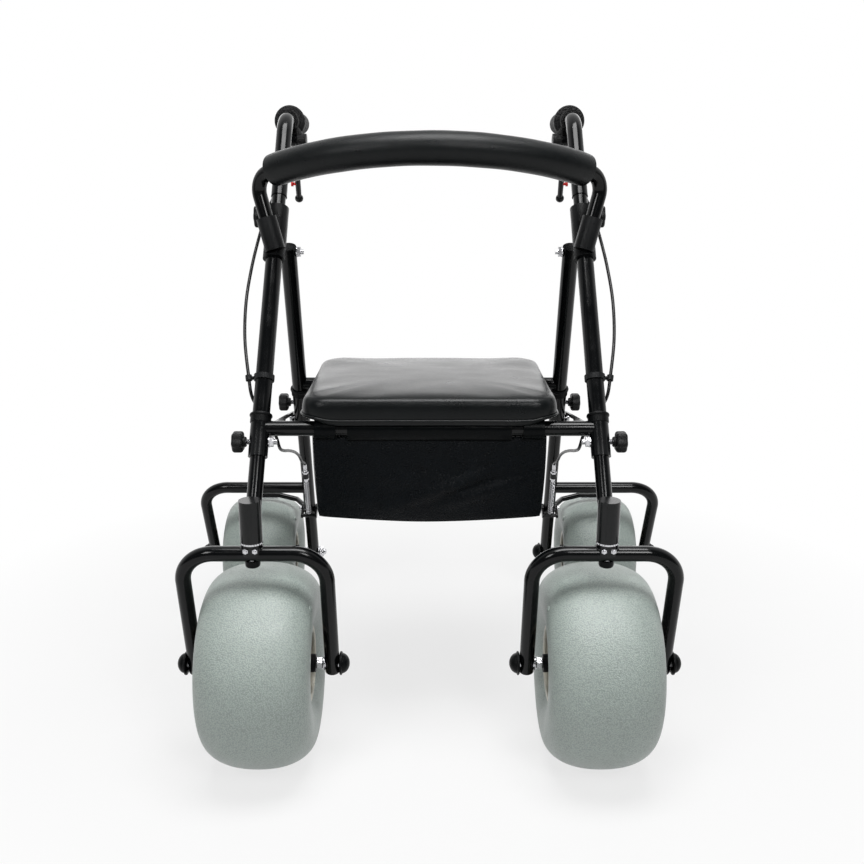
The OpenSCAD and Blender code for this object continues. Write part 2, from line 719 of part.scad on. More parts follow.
// Side stays: flat bars pinned to the front frame, with a slot for the rear stud
stay_vec = stud - stay_pin;
stay_len = norm(stay_vec);
stay_slip = 1.7;
stay_end = 15;
slot_len = 100;
module side_stay() {
    slot_d = stud_d + 2 * stay_slip;
    multmatrix(frame_at(stay_pin, out_x, stay_vec)) difference() {
        union() {
            translate([0, -stay_w / 2, 0]) cube([stay_len + stay_end - stay_w / 2 + slot_d / 2, stay_w, stay_t]);
            cylinder(d = stay_w, h = stay_t);
            translate([stay_len + stay_end - stay_w / 2 + slot_d / 2, 0, 0]) cylinder(d = stay_w, h = stay_t);
        }
        translate([0, 0, -cut]) cylinder(d = stay_pin_d + 2 * run_gap, h = stay_t + 2 * cut);
        translate([stay_len - slot_len, -slot_d / 2, -cut]) cube([slot_len, slot_d, stay_t + 2 * cut]);
        for (x = [stay_len - slot_len, stay_len])
            translate([x, 0, -cut]) cylinder(d = slot_d, h = stay_t + 2 * cut);
    }
}

module side_stays() {
    color(black) pair() side_stay();
}

// Lower front legs, each welded behind its swivel housing
front_foot_z = 380;
front_lower_top_z = front_leg_low_z + inner_leg_hold;
housing_floor = 5;
module front_lower_leg(side) {
    color(black) on_side(side) difference() {
        union() {
            rod(leg_at(front_foot_z), leg_at(front_lower_top_z), inner_leg_d);
            translate([swivel.x, swivel.y, housing_low_z]) cylinder(d = housing_d, h = housing_len);
        }
        translate([swivel.x, swivel.y, housing_low_z - cut])
            cylinder(d = stem_d + 2 * run_gap, h = housing_len - housing_floor + cut);
    }
}

// Caster forks: a bent tube with a boss on its crown
fork_slope = unit([0, caster_trail, front_r - crown_z]);
boss_d = 30;
swivel_washer_t = 3;
boss_top_z = housing_low_z - swivel_washer_t;
module caster_fork(side) {
    crown = [swivel.x, swivel.y, crown_z];
    half = out_x * fork_span / 2;
    foot = front_axle + fork_slope * tube_end;
    color(black) on_side(side) difference() {
        union() {
            bent_tube([foot - half, crown - half, crown + half, foot + half], fork_tube_d, fork_bend_r);
            translate(crown) cylinder(d = boss_d, h = boss_top_z - crown_z);
        }
        translate(crown - up_z * fork_tube_d) cylinder(d = stem_d + 2 * seat_gap, h = fork_tube_d * 2);
        rod(front_axle - half * 2, front_axle + half * 2, axle_d + 2 * seat_gap);
    }
}

// Swivel stems: bolt head under the crown, washers, and two small clamp bolts on the boss
stem_head_t = 6;
stem_head_d = 20;
module caster_stem(side) {
    head_z = crown_z - fork_tube_d / 2 - seat_gap - stem_head_t;
    color(chrome) on_side(side) translate([swivel.x, swivel.y, 0]) {
        translate([0, 0, head_z]) cylinder(d = stem_head_d, h = stem_head_t);
        translate([0, 0, head_z])
            cylinder(d = stem_d, h = housing_low_z + housing_len - housing_floor - slip_gap - head_z);
        translate([0, 0, boss_top_z + seat_gap])
            ring(boss_d - 2 * seat_gap, stem_d + seat_gap, swivel_washer_t - slip_gap - seat_gap);
    }
}

// Axle sets: axle, spacers by the hub, lock nuts by the fork and caps on the ends
spacer_d = 27;
spacer_len = 12;
lock_nut_af = 19;
cap_d = 35;
cap_h = 15;
module dome(d, h) {
    r = (d * d / 4 + h * h) / (2 * h);
    intersection() {
        translate([0, 0, h - r]) sphere(r = r);
        cylinder(d = d + 2 * cut, h = h + cut);
    }
}

module axle_end(hub_half, leg_x, leg_tube_d) {
    inner = leg_x - leg_tube_d / 2 - seat_gap;
    outer = leg_x + leg_tube_d / 2 + seat_gap;
    color(black) translate([0, 0, hub_half + slip_gap]) ring(spacer_d, axle_d + seat_gap, spacer_len);
    translate([0, 0, hub_half + slip_gap + spacer_len])
        ring(lock_nut_af, axle_d + seat_gap, inner - hub_half - slip_gap - spacer_len);
    color(black) translate([0, 0, outer]) difference() {
        dome(cap_d, cap_h);
        translate([0, 0, -cut]) cylinder(d = axle_d + seat_gap, h = cap_h / 2 + cut);
    }
}

module axle_set(hub_w, in_x, out_leg_x, leg_tube_d) {
    reach = leg_tube_d / 2 + cap_h / 2 - slip_gap;
    color(chrome) {
        rotate([0, 90, 0]) {
            translate([0, 0, -in_x - reach]) cylinder(d = axle_d, h = in_x + out_leg_x + 2 * reach);
            axle_end(hub_w / 2, out_leg_x, leg_tube_d);
        }
        rotate([0, -90, 0]) axle_end(hub_w / 2, in_x, leg_tube_d);
    }
}

module front_axle_set(side) {
    on_side(side) translate(front_axle)
        axle_set(front_hub_w, fork_span / 2, fork_span / 2, fork_tube_d);
}

module rear_axle_set(side) {
    on_side(side) translate(rear_axle)
        axle_set(rear_hub_w, rear_leg_inset, arch_outset, inner_leg_d);
}

// Balloon tyre: a superellipse section over the hub, hollow and open to the hub's barrel
belly_share = 0.667;
low_half_share = 0.5;
hollow_low_share = 0.37;
section_power = 2.25;
section_steps = 26;
function section(w, top, low, drop) =
    let (a0 = asin(pow(drop / low, section_power / 2)))
    [for (i = [0 : section_steps])
        let (a = -a0 + (180 + 2 * a0) * i / section_steps,
             c = cos(a), s = sin(a))
        [w / 2 * sign(c) * pow(abs(c), 2 / section_power),
         (s < 0 ? -low : top) * pow(abs(s), 2 / section_power)]];
module tyre(d, w, hub_d) {
    r = d / 2;
    belly = r * belly_share;
    drop = belly - hub_d / 2;
    rotate([0, 90, 0]) rotate_extrude($fn = 96) rotate(-90) mirror([1, 0]) difference() {
        translate([0, belly]) polygon(section(w, r - belly, r * low_half_share, drop));
        translate([0, belly])
            polygon(section(w - 2 * tyre_wall, r - belly - tyre_wall, r * hollow_low_share, drop + cut));
    }
}

module front_tyre(side) {
    color(tyre_grey) on_side(side) translate(front_axle) tyre(front_wheel_d, front_wheel_w, front_hub_d);
}

module rear_tyre(side) {
    color(tyre_grey) on_side(side) translate(rear_axle) tyre(rear_wheel_d, rear_wheel_w, rear_hub_d);
}

// Hub: barrel, web and bushed boss
rim_t = 7;
web_t = 10;
boss_hub_d = 34;
module hub(d, w) {
    rotate([0, 90, 0]) {
        translate([0, 0, -w / 2]) ring(d - 2 * seat_gap, d - 2 * rim_t, w);
        translate([0, 0, -web_t / 2]) ring(d - rim_t, boss_hub_d - rim_t, web_t);
        translate([0, 0, -w / 2]) ring(boss_hub_d, axle_d + 2 * run_gap, w);
    }
}

module front_hub(side) {
    color(hub_grey) on_side(side) translate(front_axle) hub(front_hub_d, front_hub_w);
}

module rear_hub(side) {
    color(hub_grey) on_side(side) translate(rear_axle) hub(rear_hub_d, rear_hub_w);
}

// Lower rear legs, each with its wheel arch and the lug of the cable adjuster
lug_d = 10;
lug_neck_d = 8;
lug_out = 20;
adjuster_z = 320;
front_of_leg = unit(cross(out_x, rear_dir));
lug_at = rear_at(adjuster_z) - front_of_leg * lug_out;
rear_lower_top_z = rear_leg_low_z + inner_leg_hold;
adjuster_d = 7;
pivot = rear_at(brake_pivot_z);
pivot_d = 6;
module rear_lower_leg(side) {
    arch_foot = rear_at(arch_z);
    outer = [rear_axle.x + arch_outset, 0, 0];
    outer_top = [outer.x, arch_foot.y, arch_z];
    outer_foot = [outer.x, rear_axle.y, rear_axle.z];
    down = unit(outer_foot - outer_top);
    color(black) on_side(side) difference() {
        union() {
            rod(rear_foot + rear_dir * tube_end, rear_at(rear_lower_top_z), inner_leg_d);
            bent_tube([arch_foot, outer_top, outer_foot + down * tube_end], arch_tube_d, fork_bend_r);
            rod(rear_at(adjuster_z), lug_at, lug_neck_d);
            rod(lug_at - rear_dir * lug_d / 2, lug_at + rear_dir * lug_d / 2, lug_d * washer_share);
        }
        rod(lug_at - rear_dir * lug_d * 2, lug_at + rear_dir * lug_d * 2, adjuster_d + 2 * seat_gap);
        rod(pivot - out_x * leg_d, pivot + out_x * leg_d, pivot_d + 2 * seat_gap);
        rod(rear_axle - out_x * rear_track, rear_axle + out_x * rear_track, axle_d + 2 * seat_gap);
    }
}

// Cable adjuster: threaded barrel with two nuts, and the pivot bolt of the brake arm
adjuster_len = 30;
arm_t = 4;
arm_gap = slip_gap;
arm_out = inner_leg_d / 2 + arm_gap;
module cable_adjuster(side) {
    color(chrome) on_side(side) {
        rod(lug_at - rear_dir * adjuster_len / 2, lug_at + rear_dir * adjuster_len / 2, adjuster_d);
        for (way = both)
            multmatrix(frame_at(lug_at + rear_dir * way * (lug_d / 2 + seat_gap), rear_dir * way, out_x))
                hex_nut(lug_d, lug_d / 2, adjuster_d);
        rod(pivot - out_x * (arm_out + arm_t + slip_gap), pivot + out_x * (arm_out + arm_t + slip_gap), pivot_d);
        for (way = both)
            translate(pivot + out_x * way * (arm_out + arm_t + slip_gap)) rotate([0, way * 90, 0])
                cylinder(d = pivot_d * head_share, h = arm_t);
    }
}

// Brake arm: two cheeks on the pivot, a bridge in front of the leg and the shoe over the tyre
bridge_d = 7;
cheek_w = 10;
bridge_at = pivot - front_of_leg * lug_out;
cheek_r = 9;
shoe_turn = 6;
shoe_reach = 12;
shoe_drop = 9;
shoe_mid = rear_axle + (rear_r + shoe_gap + shoe_d / 2) * [0, -sin(shoe_turn), cos(shoe_turn)];
module cheek() {
    span = bridge_at - pivot;
    multmatrix(frame_at(pivot + out_x * arm_out, out_x, span)) difference() {
        union() {
            cylinder(r = cheek_r, h = arm_t);
            translate([0, -cheek_w / 2, 0]) cube([norm(span), cheek_w, arm_t]);
            translate([norm(span), 0, 0]) cylinder(d = cheek_w, h = arm_t);
        }
        translate([0, 0, -cut]) cylinder(d = pivot_d + 2 * run_gap, h = arm_t + 2 * cut);
    }
}

module shoe_bar(p) {
    for (i = [0 : len(p) - 2]) rod(p[i], p[i + 1], shoe_d);
    for (i = [1 : len(p) - 2]) translate(p[i]) sphere(d = shoe_d + 2 * bend_step);
}

module brake_arm(side) {
    root = [pivot.x + arm_out + arm_t / 2, pivot.y + cheek_r, pivot.z + arm_t];
    knee = [rear_axle.x - rear_wheel_w / 2, shoe_mid.y, shoe_mid.z - shoe_drop];
    crest = [rear_axle.x - rear_wheel_w / 4, shoe_mid.y, shoe_mid.z];
    color(black) on_side(side) {
        cheek();
        translate([pivot.x * 2, 0, 0]) mirror([1, 0, 0]) cheek();
        rod(bridge_at - out_x * (arm_out + arm_t), bridge_at + out_x * (arm_out + arm_t), bridge_d);
        shoe_bar([root, knee, crest, [rear_axle.x + shoe_reach, shoe_mid.y, shoe_mid.z]]);
    }
}

// Return spring round the bare cable, from the adjuster to the bridge of the brake arm
spring_top = lug_at + rear_dir * (adjuster_len / 2 + slip_gap);
spring_low = bridge_at - rear_dir * (bridge_d / 2 + slip_gap);
spring_len = norm(spring_low - spring_top);
spring_r = (spring_d - spring_wire) / 2;
wire_d = 2;
curl_rings = 8;
function helix(t) = let (a = 360 * spring_curls * t)
    [spring_r * cos(a), spring_r * sin(a), spring_wire / 2 + (spring_len - spring_wire) * t];
coil = [for (i = [0 : spring_curls * curl_rings]) helix(i / (spring_curls * curl_rings))];
coil_gap = min([for (i = [0 : curl_rings - 1]) norm(coil[i + curl_rings] - coil[i])]) - spring_wire;
echo(coil_gap = coil_gap);

module brake_spring(side) {
    color(chrome) on_side(side) multmatrix(frame_at(spring_top, rear_dir, out_x)) {
        sweep(coil, spring_wire, 6);
        cylinder(d = wire_d, h = spring_len);
    }
}

// Brake cables: route of the left one from the lever's perch to the adjuster
cable_point_at_clip = [265, -150, clip_z];
cable_route = [
    [213, 98, 896], [216, 84, 886], [224, 72, 868], [236, 64, 845], [250, 52, 815], [262, 36, 785],
    [270, 8, 750], [276, -28, 710], [279, -68, 665], [276, -108, 615], cable_point_at_clip,
    [260, -160, 540], [253, -151, 520], [244, -141, 503], [236, -136, 486], [231, -132, 468],
    [229, -118, 448], [229, -80, 433], [230, -30, 418], [231, 20, 402], [232, 65, 386], [232, 105, 368],
    [231, 130, 350]
];
// Points between the route's own points, on a smooth curve through them
function smooth(p, t) =
    let (n = len(p), i = min(floor(t), n - 2), f = t - i,
         a = p[max(i - 1, 0)], b = p[i], c = p[i + 1], d = p[min(i + 2, n - 1)])
    0.5 * (2 * b + (c - a) * f + (2 * a - 5 * b + 4 * c - d) * f * f + (3 * b - a - 3 * c + d) * f * f * f);
clip_index = 10;
cable_lead = 14;
cable_end_gap = 0.7;
cable_foot = lug_at - rear_dir * (adjuster_len / 2 + cable_end_gap);
cable_full = concat(cable_route, [cable_foot - rear_dir * cable_lead, cable_foot]);
cable_rings = 46;

module brake_cable(side) {
    n = len(cable_full) - 1;
    color(black) on_side(side)
        sweep([for (i = [0 : cable_rings]) smooth(cable_full, n * i / cable_rings)], cable_d, 8);
}

// Handles: a bent tube with a narrower post in the leg
grip_axis = leg_at(grip_z);
handle_turn = corner_angle(leg_dir, back_y);
handle_trim = handle_bend_r * tan(handle_turn / 2);
grip_front = grip_axis + back_y * (handle_trim + grip_start);
grip_cap = 6;
module handle_tube(side) {
    shoulder = leg_at(handle_shoulder_z);
    color(black) on_side(side) {
        bent_tube([shoulder, grip_axis, grip_front + back_y * (grip_len - grip_cap - seat_gap)],
            handle_d, handle_bend_r);
        rod(shoulder - leg_dir * post_len, shoulder + leg_dir * handle_d, inner_leg_d);
    }
}

grip_flange_t = 7;
grip_taper_share = 0.92;
module grip(side) {
    color(soft_black) on_side(side) translate(grip_front) rotate([-90, 0, 0]) difference() {
        union() {
            cylinder(d1 = grip_d, d2 = grip_d * grip_taper_share, h = grip_len);
            cylinder(d = grip_flange_d, h = grip_flange_t);
        }
        translate([0, 0, -cut]) cylinder(d = handle_d + 2 * seat_gap, h = grip_len - grip_cap + cut);
    }
}

// Brake perch: a clamp on the handle tube and a block beside it that carries the lever's pin
perch_len = 20;
perch_d = 34;
perch_side = 21;
perch_low = 31;
perch_boss_d = 22;
perch_neck_d = 15;
perch_boss_w = 15;
lever_w = 11;
lever_pin_d = 6;
perch_y = grip_front.y - grip_start / 2;
lever_pin = [grip_axis.x - perch_side, perch_y, grip_z - perch_low];
module brake_perch(side) {
    boss = lever_pin - out_x * perch_boss_w / 2;
    color(soft_black) on_side(side) {
        difference() {
            union() {
                translate([grip_axis.x, perch_y - perch_len / 2, grip_z]) rotate([-90, 0, 0])
                    cylinder(d = perch_d, h = perch_len);
                rod(boss, boss + out_x * perch_boss_w, perch_boss_d);
                rod(lever_pin, [grip_axis.x, perch_y, grip_z], perch_neck_d);
            }
            translate([grip_axis.x, perch_y - perch_len, grip_z]) rotate([-90, 0, 0])
                cylinder(d = handle_d + 2 * seat_gap, h = perch_len * 2);
            rod(lever_pin + out_x * perch_boss_w / 2, lever_pin + out_x * perch_boss_w * 2,
                perch_boss_d + 2 * lever_w);
        }
        rod(lever_pin, lever_pin + out_x * (perch_boss_w / 2 + lever_w + 2 * slip_gap), lever_pin_d);
    }
}

// Brake lever: an eye on the pin, an arm that slopes down and back, and a ball at its tip
ball_d = 15;
lever_arm_d = 10.5;
lever_eye_d = 18;
tip_out = 8;
lever_eye = lever_pin + out_x * (perch_boss_w / 2 + slip_gap);
lever_mid = lever_eye + out_x * lever_w / 2;
lever_tip = lever_mid + lever_len * [0, cos(lever_slope), -sin(lever_slope)] + out_x * tip_out;
lever_dir = unit(lever_tip - lever_mid);
button_back = 36;
button_d = 9;
button_stem_d = 5;
button_out = 4;
button_travel = 2;
button_at = lever_tip - lever_dir * button_back;
button_axis = unit(out_x - (out_x * lever_dir) * lever_dir);
module brake_lever(side) {
    color(black) on_side(side) difference() {
        union() {
            rod(lever_eye, lever_eye + out_x * lever_w, lever_eye_d);
            rod(lever_mid, lever_tip, lever_arm_d);
            translate(lever_tip) sphere(d = ball_d);
        }
        rod(lever_eye - out_x * lever_w, lever_eye + out_x * lever_w * 2, lever_pin_d + 2 * run_gap);
        rod(button_at, button_at + button_axis * lever_arm_d, button_stem_d + 2 * run_gap);
    }
}

module lock_button(side) {
    foot = button_at + button_axis * (button_travel + slip_gap);
    face = button_at + button_axis * (lever_arm_d / 2 + button_travel + slip_gap);
    color(red) on_side(side) {
        rod(foot, face + button_axis * button_out / 2, button_stem_d);
        rod(face, face + button_axis * button_out, button_d);
    }
}

// Knobs: lobed heads on chrome screws for the legs, and flat ones for the handles
lobes = 6;
lobe_share = 0.3;
neck_d = 15;
neck_len = 4;
module lobed_head(d, t) {
    lobe_r = d / 2 * lobe_share;
    linear_extrude(t) {
        circle(r = d / 2 - lobe_r / 2);
        for (i = [0 : lobes - 1]) rotate(360 * i / lobes) translate([d / 2 - lobe_r, 0]) circle(r = lobe_r);
    }
}

module screw_knob(d, t, start, reach) {
    color(chrome) translate([0, 0, start]) cylinder(d = knob_screw_d, h = reach - start);
    color(soft_black) {
        translate([0, 0, reach]) lobed_head(d, t);
        translate([0, 0, reach - neck_len]) cylinder(d = neck_d, h = neck_len + t / 2);
    }
}

front_knob_reach = 22;
rear_knob_reach = 22;
handle_knob_reach = 25;
screw_start = inner_leg_d / 2 + slip_gap;
handle_screw_start = handle_d / 2 + slip_gap;
module front_knob(side) {
    on_side(side) translate(leg_at(front_knob_z)) rotate([0, 90, 0])
        screw_knob(knob_d, knob_t, screw_start, front_knob_reach);
}

module rear_knob(side) {
    on_side(side) translate(rear_at(rear_knob_z)) rotate([0, 90, 0])
        screw_knob(knob_d, knob_t, screw_start, rear_knob_reach);
}

module handle_knob(side) {
    on_side(side) translate(leg_at(handle_knob_z)) rotate([0, 90, 0])
        screw_knob(handle_knob_d, handle_knob_t, handle_screw_start, handle_knob_reach);
}

front_frame();
top_brackets();
front_collars();
cable_clips();
front_bolts();
backrest_tube();
backrest_pad();
bag();
brake_cable(left);  // brake_cable_left
brake_cable(right);  // brake_cable_right
seat_board();
seat_cushion();
seat_saddles();
rear_frame();
rear_collars();
rear_bolts();
side_stays();
front_lower_leg(left);  // front_lower_leg_left
front_lower_leg(right);  // front_lower_leg_right
caster_fork(left);  // caster_fork_left
caster_fork(right);  // caster_fork_right
caster_stem(left);  // caster_stem_left
caster_stem(right);  // caster_stem_right
front_axle_set(left);  // front_axle_left
front_axle_set(right);  // front_axle_right
front_tyre(left);  // front_tyre_left
front_tyre(right);  // front_tyre_right
front_hub(left);  // front_hub_left
front_hub(right);  // front_hub_right
rear_lower_leg(left);  // rear_lower_leg_left
rear_lower_leg(right);  // rear_lower_leg_right
rear_axle_set(left);  // rear_axle_left
rear_axle_set(right);  // rear_axle_right
rear_tyre(left);  // rear_tyre_left
rear_tyre(right);  // rear_tyre_right
rear_hub(left);  // rear_hub_left
rear_hub(right);  // rear_hub_right
cable_adjuster(left);  // cable_adjuster_left
cable_adjuster(right);  // cable_adjuster_right
brake_spring(left);  // brake_spring_left
brake_spring(right);  // brake_spring_right
brake_arm(left);  // brake_arm_left
brake_arm(right);  // brake_arm_right
handle_tube(left);  // handle_tube_left
handle_tube(right);  // handle_tube_right
grip(left);  // grip_left
grip(right);  // grip_right
brake_perch(left);  // brake_perch_left
brake_perch(right);  // brake_perch_right
brake_lever(left);  // brake_lever_left
brake_lever(right);  // brake_lever_right
lock_button(left);  // lock_button_left
lock_button(right);  // lock_button_right
front_knob(left);  // front_knob_left
front_knob(right);  // front_knob_right
rear_knob(left);  // rear_knob_left
rear_knob(right);  // rear_knob_right
handle_knob(left);  // handle_knob_left
handle_knob(right);  // handle_knob_right
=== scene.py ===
"""Looks of the all terrain rollator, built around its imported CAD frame. Metres, +Z up, front at -Y."""

import math

import bpy
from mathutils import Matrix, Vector
from mathutils.kdtree import KDTree


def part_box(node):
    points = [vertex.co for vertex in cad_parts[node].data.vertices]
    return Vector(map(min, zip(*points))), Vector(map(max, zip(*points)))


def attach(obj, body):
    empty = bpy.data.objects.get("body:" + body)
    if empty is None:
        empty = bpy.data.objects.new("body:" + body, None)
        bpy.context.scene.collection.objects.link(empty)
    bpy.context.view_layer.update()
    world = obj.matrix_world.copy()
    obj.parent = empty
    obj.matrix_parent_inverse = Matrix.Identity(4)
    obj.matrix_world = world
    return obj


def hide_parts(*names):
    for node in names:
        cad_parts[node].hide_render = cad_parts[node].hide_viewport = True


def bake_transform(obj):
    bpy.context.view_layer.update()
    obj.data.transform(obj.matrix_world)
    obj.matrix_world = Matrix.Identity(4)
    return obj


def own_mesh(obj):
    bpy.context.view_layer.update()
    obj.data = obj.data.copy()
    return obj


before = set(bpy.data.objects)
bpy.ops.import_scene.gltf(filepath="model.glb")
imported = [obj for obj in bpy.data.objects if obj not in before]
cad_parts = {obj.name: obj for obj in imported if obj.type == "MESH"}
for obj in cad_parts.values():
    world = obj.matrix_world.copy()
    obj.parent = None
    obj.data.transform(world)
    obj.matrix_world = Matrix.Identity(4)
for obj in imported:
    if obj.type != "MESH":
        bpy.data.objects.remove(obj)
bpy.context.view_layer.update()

SIDES = {"left": 1, "right": -1}
X_AXIS = Vector((1, 0, 0))
Y_AXIS = Vector((0, 1, 0))
Z_AXIS = Vector((0, 0, 1))
TOUCH_GAP = 0.0001
FIT_GAP = 0.0003

# Lines of the legs, as the frame has them
LEG_LOW = Vector((0.247, -0.250, 0.412))
LEG_LEAN = math.radians(33.2)
LEG_TOE = math.radians(1.68)
LEG_DIR = Vector((-math.tan(LEG_TOE), math.tan(LEG_LEAN), 1)).normalized()
HINGE = Vector((0.221, -0.003, 0.735))
REAR_FOOT = Vector((0.234, 0.276, 0.114))
REAR_DIR = (REAR_FOOT - HINGE).normalized()


def on_line(point, direction, z):
    return point + direction * ((z - point.z) / direction.z)


def leg_at(z):
    return on_line(LEG_LOW, LEG_DIR, z)


def rear_at(z):
    return on_line(HINGE, REAR_DIR, z)


# Mesh helpers: each shape is a pair of lists, vertices and faces
def cross_frame(direction):
    """Two unit vectors across a direction."""
    direction = direction.normalized()
    hint = X_AXIS if abs(direction.x) < 0.8 else Y_AXIS
    u = (hint - direction * hint.dot(direction)).normalized()
    return u, direction.cross(u)


def join(*shapes):
    verts, faces = [], []
    for shape_verts, shape_faces in shapes:
        base = len(verts)
        verts.extend(shape_verts)
        faces.extend([tuple(i + base for i in face) for face in shape_faces])
    return verts, faces


ON_AXIS = 1e-7


def lathe(profile, origin, axis, segments, closed=False, lobes=0, lobe_share=0.0):
    """Turns (radius, height) points about an axis. Lobes ripple the radius by a share of it."""
    u, v = cross_frame(axis)
    axis = axis.normalized()
    verts, faces, rows = [], [], []
    for radius, height in profile:
        centre = origin + axis * height
        if radius < ON_AXIS:
            rows.append([len(verts)] * segments)
            verts.append(centre)
            continue
        rows.append(list(range(len(verts), len(verts) + segments)))
        for i in range(segments):
            angle = math.tau * i / segments
            r = radius * (1 + lobe_share * math.cos(lobes * angle))
            verts.append(centre + u * r * math.cos(angle) + v * r * math.sin(angle))
    pairs = list(zip(rows, rows[1:]))
    if closed:
        pairs.append((rows[-1], rows[0]))
    for low, high in pairs:
        for i in range(segments):
            j = (i + 1) % segments
            face = tuple(dict.fromkeys((low[i], low[j], high[j], high[i])))
            if len(face) > 2:
                faces.append(face)
    return verts, faces


def loft(rings, cap_first=True, cap_last=True):
    """Skins rings of equal point counts."""
    n = len(rings[0])
    verts = [Vector(p) for ring in rings for p in ring]
    faces = []
    for i in range(len(rings) - 1):
        for k in range(n):
            a = i * n + k
            b = i * n + (k + 1) % n
            faces.append((a, b, b + n, a + n))
    if cap_first:
        faces.append(tuple(reversed(range(n))))
    if cap_last:
        faces.append(tuple(range((len(rings) - 1) * n, len(rings) * n)))
    return verts, faces


def circle(centre, u, v, radius, count, turn=0.0):
    """Points round a circle in the plane of two unit vectors."""
    angles = [math.tau * k / count + turn for k in range(count)]
    return [centre + u * radius * math.cos(a) + v * radius * math.sin(a) for a in angles]


def tube(points, radius, sides, caps=True):
    """Sweeps a circle along points. radius is a number, or a function of the share of the way."""
    points = [Vector(p) for p in points]
    last = len(points) - 1
    u = cross_frame(points[1] - points[0])[0]
    rings = []
    for i, point in enumerate(points):
        along = (points[min(i + 1, last)] - points[max(i - 1, 0)]).normalized()
        u = (u - along * u.dot(along)).normalized()
        r = radius(i / last) if callable(radius) else radius
        rings.append(circle(point, u, along.cross(u), r, sides))
    return loft(rings, caps, caps)


def box_shape(centre, ex, ey, ez):
    """A box with half edges ex, ey and ez as vectors."""
    corners = [(-1, -1, -1), (1, -1, -1), (1, 1, -1), (-1, 1, -1),
               (-1, -1, 1), (1, -1, 1), (1, 1, 1), (-1, 1, 1)]
    verts = [centre + ex * a + ey * b + ez * c for a, b, c in corners]
    faces = [(0, 3, 2, 1), (4, 5, 6, 7), (0, 1, 5, 4), (1, 2, 6, 5), (2, 3, 7, 6), (3, 0, 4, 7)]
    return verts, faces


def smooth_path(points, steps):
    """Points on a smooth curve through a route's own points, a number of steps between each two."""
    points = [Vector(p) for p in points]
    last = len(points) - 1
    path = []
    for i in range(last):
        a, b, c, d = (points[max(i - 1, 0)], points[i], points[i + 1], points[min(i + 2, last)])
        for k in range(steps):
            f = k / steps
            path.append(0.5 * (2 * b + (c - a) * f + (2 * a - 5 * b + 4 * c - d) * f ** 2
                               + (3 * b - a - 3 * c + d) * f ** 3))
    path.append(points[last])
    return path


def arc(cx, cy, r, start, end, steps):
    """Points of an arc in a profile, in degrees."""
    angles = [math.radians(start + (end - start) * i / steps) for i in range(steps + 1)]
    return [(cx + r * math.cos(a), cy + r * math.sin(a)) for a in angles]


def mirrored(point, side):
    return Vector((point.x * side, point.y, point.z))


def left_box(node, side):
    """Middle and size of a node's box, with a node of the right side mirrored to the left."""
    low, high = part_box(node)
    return mirrored((low + high) / 2, side), high - low


SMOOTH_ANGLE = math.radians(38)


def mesh_object(name, shape, finish, side=1):
    """A smooth shaded mesh object of a shape, mirrored to the right where side is -1."""
    verts, faces = shape
    if side < 0:
        verts = [mirrored(v, side) for v in verts]
        faces = [tuple(reversed(face)) for face in faces]
    mesh = bpy.data.meshes.new(name)
    mesh.from_pydata(verts, [], faces)
    mesh.validate()
    mesh.shade_smooth()
    mesh.set_sharp_from_angle(angle=SMOOTH_ANGLE)
    mesh.materials.append(finish.material)
    obj = bpy.data.objects.new(name, mesh)
    bpy.context.scene.collection.objects.link(obj)
    return obj


def piece(name, shape, finish, body, side=1, nodes=()):
    """A piece with a finish that rides on a body and stands for nodes."""
    obj = mesh_object(name, shape, finish, side)
    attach(obj, body)
    if nodes:
        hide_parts(*nodes)
    return obj


def apply_modifiers(obj):
    depsgraph = bpy.context.evaluated_depsgraph_get()
    mesh = bpy.data.meshes.new_from_object(obj.evaluated_get(depsgraph))
    obj.modifiers.clear()
    obj.data = mesh


# Materials
def srgb(r, g, b):
    """A linear colour from 8 bit display values."""
    values = [c / 255 for c in (r, g, b)]
    linear = [c / 12.92 if c <= 0.04045 else ((c + 0.055) / 1.055) ** 2.4 for c in values]
    return (*linear, 1)


def scaled(color, share):
    return tuple(min(1, c * share) for c in color[:3]) + (1,)


COAT_ROUGH = 0.08
LEAST_ROUGH = 0.02
DARK_SCALE_SHARE = 1.7
MOTTLE_DETAIL = 4.0
SMUDGE_DETAIL = 5.0
WORN_SHARE = 0.6

# Noise and pointiness values between which a layer fades in
LIGHT_PATCH = (0.5, 0.72)
DARK_PATCH = (0.52, 0.75)
SMUDGE_SPAN = (0.3, 0.7)
WORN_SPAN = (0.55, 0.66)

# Sockets of a colour Mix node, which share their names with its other kinds
MIX_FACTOR = 0
MIX_UNDER = 6
MIX_OVER = 7
MIX_RESULT = 2


def add_node(tree, kind, **sockets):
    """A new node with values on its sockets, whose names are written with _ for a space."""
    made = tree.nodes.new(kind)
    for name, value in sockets.items():
        made.inputs[name.replace("_", " ")].default_value = value
    return made


